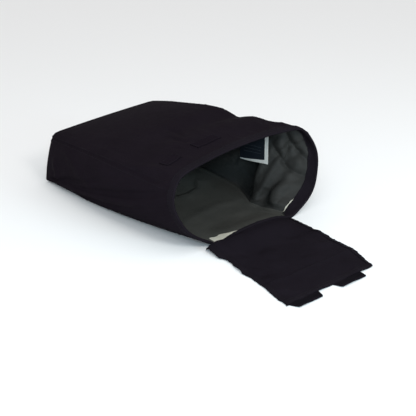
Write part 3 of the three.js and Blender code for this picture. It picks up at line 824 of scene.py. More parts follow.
# The right wall takes the darker copy of the lining, which is painted shade
LINING_MATERIALS = dict(bottom="lining", right="painted_shade_lining", top="lining", left="lining")

# A seam sinks into a groove, with a puckered ridge on each side of it
GROOVE_DEPTH = 1.8
GROOVE_WIDTH = 2.0
RIDGE_HEIGHT = 0.7
RIDGE_FROM_SEAM = 5
RIDGE_WIDTH = 2.2
PUCKER = 0.45
PUCKER_LENGTH = 11


def place_piece(piece, slot, *nodes):
    if nodes:
        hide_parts(*nodes)
    return piece


def ride_bag(piece):
    """Bakes the piece's placement into its mesh."""
    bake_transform(piece)
    return piece


def inset(grid, normals, depth):
    return grid - normals * depth


def panel_columns(grid, panel):
    first, last = 2 * PANEL_STARTS[panel], 2 * PANEL_ENDS[panel]
    return np.take(grid, np.arange(first, last + 1) % (2 * COLUMNS), axis=1)


def seam_relief(drape):
    """How far the cloth stands out beside each seam and sinks in at it, at every point of the grid."""
    relief = np.zeros(drape.grid.shape[:2])
    rows, columns = relief.shape
    spacing = np.linalg.norm(np.roll(drape.grid, -1, 1) - drape.grid, axis=-1)
    along = np.arange(rows) * BAG_DEPTH / (rows - 1)
    for number, start in enumerate(PANEL_STARTS.values()):
        seam = 2 * start
        pucker = 1 + PUCKER * waves(along, 0 * along, PUCKER_LENGTH, number)
        for side in (-1, 1):
            distance = np.zeros(rows)
            for step in range(6):
                column = (seam + side * step) % columns
                groove = -GROOVE_DEPTH * gauss(distance, GROOVE_WIDTH)
                ridge = RIDGE_HEIGHT * pucker * gauss(distance - RIDGE_FROM_SEAM, RIDGE_WIDTH)
                relief[:, column] += (groove + ridge) / (2 if step == 0 else 1)
                distance = distance + spacing[:, column]
    return relief


def make_panels(drape):
    outside = drape.grid + drape.normals * seam_relief(drape)[..., None]
    outside[..., 2] = np.maximum(outside[..., 2], 0)
    depths = (CLOTH, LINING_INSET, LINING_INSET + LINING)
    layers = [outside, *(inset(drape.grid, drape.normals, depth) for depth in depths)]
    for panel, node in OUTER_NODES.items():
        outer, inner, lining_outer, lining_inner = (panel_columns(layer, panel) for layer in layers)
        piece = cloth_sheet(f"bag_{panel}", outer, inner, MATERIALS["outer"])
        ride_bag(place_piece(piece, "outer_cloth", node))
        material = MATERIALS[LINING_MATERIALS[panel]]
        piece = cloth_sheet(f"inner_{panel}", lining_outer, lining_inner, material)
        ride_bag(place_piece(piece, "lining_cloth", f"lining_{panel}"))


# The closed end

def drawn_in(patch, amount):
    """The patch over the closed end, made smaller all round in x and z."""
    low, high = patch.min((0, 1)), patch.max((0, 1))
    share = 1 - 2 * amount / (high - low)
    share[1] = 1
    return (low + high) / 2 + (patch - (low + high) / 2) * share


def make_end(drape):
    """The closed end and its lining, each with two armholes. The lining stays inside the seams' grooves."""
    normals = grid_normals(drape.end)
    lining = drawn_in(drape.end, LINING_DRAWN_IN)
    for name, patch, depth, cloth, material, slot, node in (
            ("bag_end", drape.end, 0, CLOTH, "outer", "outer_cloth", "outer_end_panel"),
            ("inner_end", lining, LINING_INSET, LINING, "lining", "lining_cloth", "lining_end")):
        outer, inner = inset(patch, normals, depth), inset(patch, normals, depth + cloth)
        piece = cloth_sheet(name, outer, inner, MATERIALS[material])
        cut_armholes(piece)
        ride_bag(place_piece(piece, slot, node))


def cut_armholes(piece):
    """Cuts two oval holes right through a sheet."""
    sides = ARMHOLE_SIDES
    angles = np.arange(sides) / sides * 2 * math.pi
    ring = [[k, (k + 1) % sides, sides + (k + 1) % sides, sides + k] for k in range(sides)]
    faces = ring + [list(range(sides - 1, -1, -1)), list(range(sides, 2 * sides))]
    for x in SLEEVE_SIDES.values():
        rim = np.stack([x + SLEEVE_WIDTH / 2 * np.cos(angles), 0 * angles,
                        SLEEVE_MIDDLE + SLEEVE_HEIGHT / 2 * np.sin(angles)], -1)
        near = rim + (0, HALF_DEPTH - CUTTER_REACH, 0)
        far = rim + (0, HALF_DEPTH + CUTTER_REACH, 0)
        cutter = mesh_object("cutter", np.concatenate([near, far]), faces)
        cut = piece.modifiers.new("armhole", "BOOLEAN")
        cut.object = cutter
        cut.operation = "DIFFERENCE"
        cut.solver = "EXACT"
        apply_modifiers(piece)
        bpy.data.objects.remove(cutter)


def apply_modifiers(piece):
    evaluated = piece.evaluated_get(bpy.context.evaluated_depsgraph_get())
    mesh = bpy.data.meshes.new_from_object(evaluated)
    piece.modifiers.clear()
    old = piece.data
    piece.data = mesh
    bpy.data.meshes.remove(old)


# The mouth's hem: it wraps the rim and runs inside as the facing

# Distance behind the lip and height above the skin, once round the folded cloth
HEM_PROFILE = [
    (16.0, 0.4), (15.6, 1.2), (14.0, 1.0), (12.0, 1.6), (6.0, 1.7), (3.2, 1.3), (1.6, 1.9), (-0.4, 1.9),
    (-1.8, 1.0), (-2.3, -0.8), (-1.9, -2.7), (-0.6, -4.0), (1.6, -4.4), (3.2, -3.9), (6.0, -4.3),
    (14.0, -4.3), (22.0, -4.2), (25.0, -3.8), (27.4, -4.1), (28.0, -3.3), (26.0, -2.9), (14.0, -2.8),
    (4.0, -2.8), (1.0, -2.6), (0.4, -1.0), (0.8, 0.2), (4.0, 0.4), (10.0, 0.4),
]


# Width of the facing round the mouth, as a share of its width in the profile above
FACING_PLACES = (0, 0.89, 0.96, 1.2, 1.4, 2.1, 3.2, 3.6, 4)
FACING_SHARES = (0.14, 0.14, 0.95, 0.95, 0.8, 0.75, 0.65, 0.3, 0.14)


def facing_share(q):
    return np.interp(q, FACING_PLACES, FACING_SHARES)


def make_hem(drape):
    columns = drape.grid.shape[1]
    column = np.arange(columns)
    q = way_round(column)
    turn = column / columns * 2 * math.pi
    rings = []
    for number, (from_lip, height) in enumerate(HEM_PROFILE):
        wobble = 0.25 * waves(180 * np.cos(turn), 180 * np.sin(turn), 16, 40 + number % 7)
        reach = np.maximum(from_lip, 0) * (facing_share(q) if height < -2.5 else 1) + min(from_lip, 0)
        rings.append(drape.at(reach, column, height + wobble * np.sign(height) * (abs(height) > 1)))
    points = np.stack(rings)
    points[..., 2] = np.maximum(points[..., 2], 0.1)
    along = np.cumsum(np.linalg.norm(np.roll(points[0], -1, 0) - points[0], axis=-1)) * MM
    around = running(np.hypot(*np.diff(HEM_PROFILE, axis=0).T)) * MM
    faces = quads(index_grid(*points.shape[:2], 0, 1), turned=True).tolist()
    piece = mesh_object("mouth_hem", points.reshape(-1, 3), faces, pairs(along, around), MATERIALS["facing"])
    nodes = [f"mouth_facing_{panel}" for panel in OUTER_NODES]
    ride_bag(place_piece(piece, "facing_cloth", *nodes))


# A painted highlight: a pale strip where the lining turns up beside the facing and catches the light. Its
# width at ways round the section
HIGHLIGHT_PLACES = (-0.04, 0.01, 0.07, 0.12, 0.17, 0.23, 0.27, 0.94, 0.98, 1.05, 1.12, 1.2)
HIGHLIGHT_WIDTHS = (0.8, 9, 23, 27, 17, 6, 0.8, 0.8, 4, 6, 5, 0.8)
HIGHLIGHT_START = 25  # how far behind the lip it starts where the facing has its full width


def make_lining_painted_highlight(drape):
    q = np.linspace(HIGHLIGHT_PLACES[0], HIGHLIGHT_PLACES[-1], 260)
    width = np.interp(q, HIGHLIGHT_PLACES, HIGHLIGHT_WIDTHS) * (1 + 0.12 * waves(q * 200, 0 * q, 17, 51))
    start = HIGHLIGHT_START * facing_share(np.mod(q, 4))
    share = np.linspace(1, 0, 7)[:, None]
    depth = -LINING_INSET - LINING - 0.25
    column = column_at(np.mod(q, 4))
    inner = drape.at(start + width * share, column, depth + 0 * share)
    outer = drape.at(start + width * share, column, depth - 0.5 * np.sin(math.pi * share))
    piece = cloth_sheet("lining_painted_highlight", inner, outer, MATERIALS["edge"])
    ride_bag(place_piece(piece, "lining_cloth"))


# Stitching

def stitch_points(path, normals):
    """Places, directions and normals of stitches at an even pitch along a path."""
    run = running(np.linalg.norm(np.diff(path, axis=0), axis=-1))

    def along(values, way_gone):
        return np.stack([np.interp(way_gone, run, values[:, k]) for k in range(3)], -1)

    count = max(int(run[-1] / STITCH_PITCH), 1)
    wanted = (np.arange(count) + 0.5) * run[-1] / count
    place = along(path, wanted)
    ahead = along(path, wanted + 0.5) - place
    back = place - along(path, wanted - 0.5)
    return place, unit(ahead + back), unit(along(normals, wanted))


# Along a stitch: the place, the thread's thickness and its rise. It dives into the cloth at both ends.
STITCH_SHAPE = [(-0.5, 0.35, -0.5), (-0.3, 0.9, 0.1), (0.0, 1.0, 0.35), (0.3, 0.9, 0.1), (0.5, 0.35, -0.5)]
STITCH_SIDES = 6


def stitching(name, lines, material="thread"):
    """One piece holding the stitches of several lines, each a path and its normals."""
    points, faces = [], []
    for path, normals in lines:
        place, way, up = stitch_points(np.asarray(path), np.asarray(normals))
        side = np.cross(way, up)
        for p, w, u, a in zip(place, way, up, side):
            first = len(points)
            for along, thick, rise in STITCH_SHAPE:
                middle = p + w * along * STITCH_LENGTH + u * rise * STITCH_RADIUS
                for k in range(STITCH_SIDES):
                    angle = 2 * math.pi * k / STITCH_SIDES
                    spoke = a * math.cos(angle) + u * math.sin(angle)
                    points.append(middle + spoke * thick * STITCH_RADIUS)
            rings = len(STITCH_SHAPE)
            for i in range(rings - 1):
                for k in range(STITCH_SIDES):
                    after = (k + 1) % STITCH_SIDES
                    low, high = first + i * STITCH_SIDES, first + (i + 1) * STITCH_SIDES
                    faces.append([low + k, high + k, high + after, low + after])
            faces.append([first + k for k in range(STITCH_SIDES)])
            last = first + (rings - 1) * STITCH_SIDES
            faces.append([last + k for k in reversed(range(STITCH_SIDES))])
    return mesh_object(name, points, faces, None, MATERIALS[material])


# Rows of stitches: how far behind the lip on the hem's outside and on its facing, and how far from the seams
HEM_STITCHES = (3.2, 14.0)
FACING_STITCHES = (3.2, 25.0)
SEAM_STITCHES = dict(top=(2.0,), left=(-2.2, 2.2))
# How high each kind stands over the bag's outer skin
HEM_STITCH_TOP = 1.5
FACING_STITCH_TOP = -4.1
SEAM_STITCH_TOP = 0.7
STITCHED_ABOVE = 3  # the hem's outside has no stitches where it is closer to the floor than this


def make_bag_stitching(drape):
    columns = drape.grid.shape[1]
    round_rim = np.arange(columns + 1)
    hem_lines = []
    for from_lip in HEM_STITCHES:
        on_outside = drape.at(from_lip, round_rim, HEM_STITCH_TOP)
        keep = on_outside[:, 2] > STITCHED_ABOVE
        hem_lines += [(on_outside[a:b], drape.normal_at(from_lip, round_rim[a:b])) for a, b in runs(keep)]
    for from_lip in FACING_STITCHES:
        reach = from_lip * facing_share(way_round(round_rim))
        hem_lines.append((drape.at(reach, round_rim, FACING_STITCH_TOP), -drape.normal_at(reach, round_rim)))
    ride_bag(place_piece(stitching("hem_stitching", hem_lines), "facing_cloth"))
    distance = np.linspace(HEM_WIDTH + 1, BAG_DEPTH - 3, 200)
    seam_lines = []
    for panel, offsets in SEAM_STITCHES.items():
        for offset in offsets:
            seam_lines.append(drape.sewn(distance, 2 * PANEL_STARTS[panel] + offset, SEAM_STITCH_TOP))
    ride_bag(place_piece(stitching("seam_stitching", seam_lines), "outer_cloth"))


def runs(keep):
    """First and last-plus-one index of each unbroken run of true values that has at least two."""
    edges = np.flatnonzero(np.diff(np.concatenate([[0], keep.astype(int), [0]])))
    return [(a, b) for a, b in zip(edges[::2], edges[1::2]) if b - a > 1]


# The closing flap

def flap_centre(distance):
    return FLAP_CENTRE + FLAP_DRIFT * (np.clip(distance, 0, None) / FLAP_LENGTH) ** FLAP_DRIFT_CURVE


def lower_rim(drape):
    """The lower lip's outer edge: its x in rising order, with y and z."""
    column = np.arange(2 * PANEL_STARTS["bottom"], 2 * PANEL_ENDS["bottom"] + 1)
    rim = drape.at(-1.5, column, -0.5)
    return rim[np.argsort(rim[:, 0])]


# How far each side edge of the flap strays outwards, at distances from the lip
STRAY_LEFT = [(0, 0), (27, 2.6), (50, 4.7), (61, -1.9), (80, -3.3), (108, 2), (132, 5.1), (149, 2.6),
              (170, 1.2), (212, 1), (234, 2), (255, 1.7), (274, -1.4)]
STRAY_RIGHT = [(12, -0.9), (46, -2.4), (66, -3.8), (86, -4.2), (101, -0.8), (121, 0.5), (143, -2.5),
               (162, -0.6), (180, 0.6), (198, 3.1), (219, 2.6), (243, -0.8), (269, -6)]


def flap_stray(distance, across):
    left = np.interp(distance, *np.transpose(STRAY_LEFT))
    right = np.interp(distance, *np.transpose(STRAY_RIGHT))
    ragged = 0.5 * waves(distance, across * 40, 9, 5)
    return (np.where(across < 0, left, right) + ragged) * np.abs(across) ** 3 * np.sign(across)


def flap_surface(rim, distance, across):
    """Points on the flap's underside. distance is from the lip, across from -1 to 1 over its width."""
    x = flap_centre(distance) + across * FLAP_WIDTH / 2 + flap_stray(distance, across)
    edge = np.abs(across) ** 3
    rim_y = np.interp(x, rim[:, 0], rim[:, 1])
    rim_z = np.interp(x, rim[:, 0], rim[:, 2])
    share = np.clip(distance / FLAP_ROOT, 0, 1)
    y = rim_y + (-HALF_DEPTH - FLAP_ROOT - rim_y) * share
    y = np.where(distance > FLAP_ROOT, -HALF_DEPTH - distance, y)
    past_crest = np.clip((distance - CREST_FROM_LIP) / (FLAP_ROOT - CREST_FROM_LIP), 0, 1)
    fall = np.cos(past_crest * math.pi / 2) ** 2
    rise = np.sin(np.clip(distance / CREST_FROM_LIP, 0, 1) * math.pi / 2)
    lip = np.maximum(rim_z - 3.0, 0)
    settled = smooth(distance / FLAP_ROOT)
    lift = FLAP_LIFT * np.clip(waves(x, y, FLAP_LIFT_LENGTH, 3), 0, 2)
    lift = lift + FLAP_EDGE_LIFT * edge * np.clip(waves(x, y, FLAP_EDGE_LIFT_LENGTH, 8), 0, 2)
    crease = FLAP_CREASE_HEIGHT * gauss(distance - FLAP_CREASE, FLAP_CREASE_WIDTH)
    hump = (lip + (crest_height(FLAP_CREST, x) - FLAP_CLOTH - lip) * rise) * fall
    z = hump + (lift * settled + crease) * settled + FLAP_CLEARANCE
    return np.stack([x, y, np.maximum(z, FLAP_CLEARANCE)], -1)


def flap_piece(name, rim, from_distance, to_distance, rows, cloth=FLAP_CLOTH):
    distance = np.linspace(from_distance, to_distance, rows)[:, None]
    across = np.linspace(-1, 1, 97)[None]
    under = flap_surface(rim, distance + 0 * across, across + 0 * distance)
    edge = 1 - 0.5 * np.abs(across[..., None]) ** 16
    over = under + np.array((0, 0, cloth)) * edge
    return cloth_sheet(name, over[:, ::-1], under[:, ::-1], MATERIALS["flap"])


def ride_flap_root(piece):
    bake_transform(piece)
    return piece


def ride_flap(piece):
    """Bakes the piece's placement into its mesh."""
    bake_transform(piece)
    return piece


# Distance in from the flap's edge and height over its cloth, once round the folded tape of the side edges and
# round the hem of the far edge
BINDING_PROFILE = [(BINDING_WIDTH, -0.1), (BINDING_WIDTH, 0.75), (4.0, 0.95), (1.5, 0.9), (-0.7, 0.3),
                   (-1.3, -1.3), (-0.7, -2.9), (1.5, -3.3), (BINDING_WIDTH, -3.2), (BINDING_WIDTH, -2.5),
                   (2.0, -2.5), (0.4, -1.3), (2.0, -0.1)]
FLAP_HEM_PROFILE = [(12, 0.1), (12, 0.8), (9, 1.1), (3, 1.1), (0.4, 0.7), (-0.5, -1.2), (0.3, -2.6),
                    (3, -2.62), (3, -2.2), (1, -1.2), (2, 0.1)]


def tape_line(under, height, ripple):
    """A line of tape at a height over the flap's cloth, kept off the floor."""
    under[:, 2] = np.maximum(under[:, 2] + FLAP_CLOTH + height + ripple, 0.05)
    return under


def edge_binding(name, rim, side, from_distance, to_distance, rows):
    """Tape folded round a side edge of the flap."""
    distance = np.linspace(from_distance, to_distance, rows)
    rings = []
    for inward, height in BINDING_PROFILE:
        across = side * (1 - 2 * inward / FLAP_WIDTH)
        under = flap_surface(rim, distance, np.full_like(distance, across))
        ripple = 0.25 * waves(distance, 0 * distance + inward, 9, 21)
        rings.append(tape_line(under, height, ripple))
    points = np.stack(rings, 1)
    if side > 0:
        points = points[:, ::-1]
    return tube_along(name, points, MATERIALS["tape"])


def tube_along(name, points, material):
    """A closed tube whose sections are the rows of points."""
    at = index_grid(*points.shape[:2], 1)
    faces = quads(at, turned=True).tolist()
    faces += [at[0, :-1].tolist(), at[-1, -2::-1].tolist()]
    return mesh_object(name, points.reshape(-1, 3), faces, surface_uv(points), material)


def make_flap(drape):
    rim = lower_rim(drape)
    root = flap_piece("flap_root_cloth", rim, 0, FLAP_ROOT, 44)
    ride_flap_root(place_piece(root, "flap_cloth", "flap_root"))
    sheet = flap_piece("flap_cloth", rim, FLAP_ROOT, FLAP_LENGTH, 90)
    nodes = ["flap_front_outer", "flap_front_facing", "flap_end_outer", "flap_end_facing"]
    ride_flap(place_piece(sheet, "flap_cloth", *nodes))
    for label, side in (("left", -1), ("right", 1)):
        piece = edge_binding(f"flap_binding_root_{label}", rim, side, 4, FLAP_ROOT, 24)
        ride_flap_root(place_piece(piece, "binding_tape"))
        piece = edge_binding(f"flap_binding_{label}_tape", rim, side, FLAP_ROOT, FLAP_LENGTH, 60)
        ride_flap(place_piece(piece, "binding_tape", f"flap_binding_{label}"))
    hem = flap_hem(rim)
    flap_stitching(rim)


def flap_hem(rim):
    """The turned hem along the flap's far edge."""
    across = np.linspace(-1, 1, 120)
    ripple = 0.2 * waves(across * 120, 0 * across, 12, 31)
    rings = []
    for inward, height in FLAP_HEM_PROFILE:
        under = flap_surface(rim, np.full_like(across, FLAP_LENGTH - inward), across)
        rings.append(tape_line(under, height, ripple))
    piece = tube_along("flap_hem", np.stack(rings, 1), MATERIALS["tape"])
    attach(place_piece(piece, "binding_tape", "flap_end_hem"), "flap_end")
    return piece


def over_flap(rim, distance, across, height):
    points = flap_surface(rim, distance, across)
    points[:, 2] += FLAP_CLOTH + height
    return points, np.tile((0.0, 0.0, 1.0), (len(points), 1))


def flap_stitching(rim):
    inward = 1 - 2 * (BINDING_WIDTH - 2) / FLAP_WIDTH
    for name, span, ride in (("flap_root_stitching", (6, FLAP_ROOT), ride_flap_root),
                             ("flap_stitching", (FLAP_ROOT, FLAP_LENGTH - 14), ride_flap)):
        distance = np.linspace(*span, 120)
        lines = [over_flap(rim, distance, np.full_like(distance, side * inward), 0.95) for side in (-1, 1)]
        if ride is ride_flap:
            across = np.linspace(-0.92, 0.92, 120)
            lines.append(over_flap(rim, np.full_like(across, FLAP_CREASE), across, 0.1))
        ride(place_piece(stitching(name, lines), "binding_tape"))
    across = np.linspace(-0.98, 0.98, 160)
    lines = [over_flap(rim, np.full_like(across, FLAP_LENGTH - d), across, 1.25) for d in (3.5, 10)]
    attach(place_piece(stitching("hem_line_stitching", lines), "binding_tape"), "flap_end")


# The tabs on the flap's far edge, and the strips that they grip

def rounded(u, v, corner):
    """Shortens a tab towards its two side edges, over a share of its half width."""
    near_side = np.clip((np.abs(u) - (1 - corner)) / corner, 0, 1)
    return v * (1 - 0.35 * near_side ** 2.5)


def tab_surface(side, u, v):
    """Points of a tab's underside. u runs from -1 to 1 across it, v from 0 at the flap to 1 at its tip."""
    ends = [root + (tip - root) * v ** 1.5 for root, tip in zip(TABS[side]["root"], TABS[side]["tip"])]
    x = flap_centre(FLAP_LENGTH) + ends[0] + (ends[1] - ends[0]) * (u + 1) / 2
    reach = rounded(u, v, TAB_ROUNDING)
    start = -HALF_DEPTH - FLAP_LENGTH + TAB_OVERLAP
    y = start - reach * (TAB_LENGTH + TAB_OVERLAP)
    curl = TAB_LIFT * np.clip(waves(x, y, TAB_LIFT_LENGTH, 12), 0, 2) * v + TAB_CURL * v ** 2
    return np.stack([x, y, 0.1 + curl], -1)


def make_tab(side):
    u, v = np.meshgrid(np.linspace(-1, 1, 41), np.linspace(0, 1, 19))
    under = tab_surface(side, u, v)
    thin = 1 - 0.45 * np.maximum(np.abs(u) ** 14, v ** 14)
    over = under + np.stack([0 * u, 0 * u, TAB_CLOTH * thin], -1)
    over[..., 2] = np.minimum(over[..., 2], 2.4 + 20 * np.clip(v - 0.2, 0, 1))
    piece = cloth_sheet(f"tab_{side}_cloth", over[:, ::-1], under[:, ::-1], MATERIALS["flap"])
    ride_tab(place_piece(piece, "flap_cloth", f"tab_{side}"))
    make_hooks(side)


def ride_tab(piece):
    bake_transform(piece)
    return piece


def make_hooks(side):
    """A strip of stiff hook tape on the tab, with its rows of hooks."""
    low = (TAB_OVERLAP + 2.5) / (TAB_LENGTH + TAB_OVERLAP)
    high = 1 - HOOK_MARGIN / (TAB_LENGTH + TAB_OVERLAP)
    u, v = np.meshgrid(np.linspace(-HOOK_SHARE, HOOK_SHARE, 41), np.linspace(low, high, 11))
    base = tab_surface(side, u, v) + (0, 0, TAB_CLOTH)
    over = base + (0, 0, HOOK_TAPE)
    piece = cloth_sheet(f"hook_tape_{side}", over[:, ::-1], base[:, ::-1], MATERIALS["hooks"])
    points, faces = [], []
    for row in np.linspace(low + 0.06, high - 0.06, HOOK_ROWS):
        for place in np.linspace(-HOOK_SHARE + 0.04, HOOK_SHARE - 0.04, HOOK_COLUMNS):
            foot = tab_surface(side, np.array(place), np.array(row)) + (0, 0, TAB_CLOTH + 0.6)
            add_peg(points, faces, foot)
    pegs = mesh_object(f"hooks_{side}", points, faces, None, MATERIALS["hooks"])
    ride_tab(place_piece(piece, "hook_tape", f"hook_strip_{side}"))
    ride_tab(place_piece(pegs, "hook_tape"))


# A hook at three levels: the share of its height, then its width and its lean as shares of its radius
HOOK_SHAPE = ((0, 1, 0), (0.6, 0.8, 0.1), (1, 0.75, 0.5))


def add_peg(points, faces, foot):
    """Adds one stiff hook, a square peg that leans over at its tip."""
    first = len(points)
    for rise, width, lean in HOOK_SHAPE:
        for k in range(4):
            angle = math.pi / 4 + k * math.pi / 2
            points.append(foot + np.array([HOOK_RADIUS * width * math.cos(angle) + lean * HOOK_RADIUS,
                                           HOOK_RADIUS * width * math.sin(angle), rise * HOOK_HEIGHT]))
    for i in range(2):
        for k in range(4):
            low, high, after = first + 4 * i, first + 4 * i + 4, (k + 1) % 4
            faces.append([low + k, low + after, high + after, high + k])
    faces.append([first + k for k in (3, 2, 1, 0)])
    faces.append([first + 8 + k for k in range(4)])


def make_loop_strip(side, drape):
    """A soft strip sewn on the top panel, where a tab comes to lie."""
    middle = flap_centre(FLAP_LENGTH) + LOOP_PLACES[side]
    width = MOUTH["right_top"] - MOUTH["left_top"]
    left = max(middle - LOOP_WIDTH / 2, MOUTH["left_top"] + LOOP_CORNER_GAP)
    x = np.linspace(left, middle + LOOP_WIDTH / 2, 40)
    q = 2 + (MOUTH["right_top"] - x) / width
    column = 2 * (PANEL_STARTS["top"] + (q - 2) * BROAD)
    distance = np.linspace(LOOP_FROM_LIP, LOOP_FROM_LIP + LOOP_LENGTH, 20)[:, None]
    fuzz = 0.15 * waves(distance * 3, column[None] * 3, 5, 17)
    over = drape.at(distance, column[None], LOOP_TOP + fuzz)
    under = drape.at(distance, column[None], LOOP_UNDER + 0 * fuzz)
    over, under = over[::-1, ::-1], under[::-1, ::-1]
    piece = cloth_sheet(f"loop_tape_{side}", over, under, MATERIALS["loops"])
    ride_bag(place_piece(piece, "loop_tape", f"loop_strip_{side}"))
    lines = []
    for along in (LOOP_STITCH_MARGIN, LOOP_LENGTH - LOOP_STITCH_MARGIN):
        lines.append(drape.sewn(LOOP_FROM_LIP + along, column[2:-2], LOOP_STITCH_TOP))
    for place in (column[1], column[-2]):
        lines.append(drape.sewn(distance[1:-1, 0], place, LOOP_STITCH_TOP))
    ride_bag(place_piece(stitching(f"loop_stitching_{side}", lines), "loop_tape"))


# The label inside the mouth

LABEL_SHARES = np.linspace(0, 1, 25)
LABEL_ROWS = (0.28, 0.38, 0.6, 0.68, 0.76)  # plain rows of stitches, shares of the label's height
LABEL_ROW_SPAN = (0.24, 0.86)
LABEL_ROW_TOP = 0.95


def label_seam(drape):
    """Height of the top lining's underside over the label, at even shares of the label's length."""
    top = drape.grid[:, 2 * PANEL_STARTS["top"]:2 * PANEL_STARTS["left"]].reshape(-1, 3)
    near, far = np.array(LABEL_NEAR), np.array(LABEL_FAR)
    seam = near + (far - near) * LABEL_SHARES[:, None]
    over = np.linalg.norm(top[:, None, :2] - seam, axis=-1).argmin(0)
    return top[over, 2] - LINING_INSET - LINING - 0.4


def label_surface(seam, u, v, depth):
    """Points of the label. u from 0 near the mouth to 1, v from 0 at its top to 1 at its lower edge."""
    near, far = np.array(LABEL_NEAR), np.array(LABEL_FAR)
    x = near[0] + (far[0] - near[0]) * u
    y = near[1] + (far[1] - near[1]) * u
    top = np.interp(u, LABEL_SHARES, seam)
    z = LABEL_LOW + (top - LABEL_LOW) * (1 - v) + 0.8 * np.sin(u * 5 + 1) * v
    across = np.array([far[1] - near[1], near[0] - far[0]]) / np.hypot(*(far - near))
    bend = LABEL_BEND * np.sin(u * 3.6 + 0.4) * (0.3 + 0.7 * v) + depth
    return np.stack([x - across[0] * bend, y - across[1] * bend, z], -1)


def label_sheet(name, seam, side, border_near, border_far, depth, cloth, material):
    """One layer of the label, short of its near side and of its lower edge by shares of its size."""
    u, v = np.meshgrid(np.linspace(side, 1, 40), np.linspace(0, 1, 30))
    v = v * (1 - border_near + (border_near - border_far) * u)
    front, back = label_surface(seam, u, v, depth + cloth), label_surface(seam, u, v, depth)
    return cloth_sheet(name, front, back, MATERIALS[material])


def make_label(drape):
    width = math.dist(LABEL_NEAR, LABEL_FAR)
    seam = label_seam(drape)
    backing = label_sheet("label_back", seam, 0, 0, 0, 0, 0.5, "white")
    ride_bag(place_piece(backing, "label_white", "label_backing"))
    near, far = LABEL_BORDER_NEAR / LABEL_HEIGHT, LABEL_BORDER_FAR / LABEL_HEIGHT
    face = label_sheet("label_front", seam, LABEL_SIDE_BORDER / width, near, far, 0.55, 0.35, "black_label")
    ride_bag(place_piece(face, "label_black", "label_face"))
    lines = []
    for v in LABEL_ROWS:
        u = np.linspace(*LABEL_ROW_SPAN, 60)
        path = label_surface(seam, u, np.full_like(u, v), LABEL_ROW_TOP)
        outwards = label_surface(seam, u, np.full_like(u, v), LABEL_ROW_TOP + 1) - path
        lines.append((path, outwards))
    ride_bag(place_piece(stitching("label_rows", lines, "label_thread"), "label_black"))


# The arm sleeves

def sleeve_gather(share):
    waist_at = 1 - (CUFF_FROM_END + CUFF_WIDTH / 2) / SLEEVE_LENGTH
    flare = 0.35 * smooth((share - waist_at) / (1 - waist_at))
    return 1 - (1 - SLEEVE_WAIST) * (smooth(share / waist_at) - flare)


def sleeve_surface(x, share, angle, outset, seed):
    """Points round a limp sleeve, gathered into pleats towards its elastic."""
    gather = sleeve_gather(share)
    tight = smooth(share * 1.3)
    pleats = PLEAT_DEPTH * tight * np.sin(SLEEVE_PLEATS * angle + 0.8 * np.sin(3 * angle + seed))
    pleats = pleats + FINE_PLEAT_DEPTH * tight * np.sin(SLEEVE_FINE_PLEATS * angle + seed)
    slack = np.clip(np.sin(share * math.pi), 0, 1) ** 0.5
    across = 45 * np.cos(angle) + 20 * np.sin(angle)
    folds = SLEEVE_FOLD_DEPTH * waves(share * SLEEVE_LENGTH, across, 30, seed) * slack
    collapse = 1 - SLEEVE_COLLAPSE * smooth((share - 0.25) * 1.6)
    half_width = SLEEVE_WIDTH * gather / 2 + outset
    half_height = SLEEVE_HEIGHT * gather * collapse / 2 + outset
    swell = 1 + pleats + folds
    bottom = 2.6 - 1.2 * smooth(share * 2)
    z = bottom + SLEEVE_HEIGHT * gather * collapse / 2 + half_height * np.sin(angle) * swell
    uneven = 1.6 * waves(angle * 20, 0 * angle, 25, seed + 3) * smooth(share * 4 - 3)
    y = SLEEVE_START + share * SLEEVE_LENGTH + uneven
    lowest = 0.2 + CUFF_OUTSET - outset
    return np.stack([x + half_width * np.cos(angle) * swell, y, np.maximum(z, lowest)], -1)


def sleeve_band(name, x, span, rows, outset, cloth, seed, material):
    around = np.arange(SLEEVE_COLUMNS) / SLEEVE_COLUMNS * 2 * math.pi
    angle, share = np.meshgrid(around, np.linspace(*span, rows))
    puff = 0.8 * np.sin(np.linspace(0, math.pi, rows))[:, None] if outset > 1 else 0
    outer = sleeve_surface(x, share, angle, outset + cloth + puff, seed)
    inner = sleeve_surface(x, share, angle, outset, seed)
    return cloth_sheet(name, outer, inner, MATERIALS[material], wrap=True)


def ride_sleeve(piece):
    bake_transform(piece)
    return piece


def make_sleeve(side, x, seed):
    cuff_end = 1 - CUFF_FROM_END / SLEEVE_LENGTH
    cuff_start = cuff_end - CUFF_WIDTH / SLEEVE_LENGTH
    margin = (CUFF_WIDTH - ELASTIC_WIDTH) / 2 / SLEEVE_LENGTH
    tube = sleeve_band(f"sleeve_{side}_cloth", x, (-0.09, 1), 70, -1.0, 1.0, seed, "outer")
    ride_sleeve(place_piece(tube, "sleeve_cloth", f"sleeve_{side}"))
    cuff = sleeve_band(f"cuff_{side}", x, (cuff_start, cuff_end), 16, 1.4, 0.9, seed, "tape")
    ride_sleeve(place_piece(cuff, "sleeve_cloth", f"sleeve_cuff_{side}"))
    span = (cuff_start + margin, cuff_end - margin)
    elastic = sleeve_band(f"elastic_{side}", x, span, 6, 0.15, 0.7, seed, "white")
    ride_sleeve(place_piece(elastic, "elastic_band", f"sleeve_elastic_{side}"))
    ring = armhole_ring(side, x)
    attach(place_piece(ring, "binding_tape", f"armhole_binding_{side}"), "base")


# Distance out from the closed end and growth of the oval, once round the folded tape
ARMHOLE_PROFILE = [(-2.5, -2.2), (2.0, -2.6), (6.0, -2.4), (9.6, -1.6), (10.2, 0.2), (8.6, 1.4), (5.0, 1.3),
                   (2.6, 2.2), (1.6, 5.6), (0.9, 6.0), (0.4, 3.0), (-2.5, -0.6)]


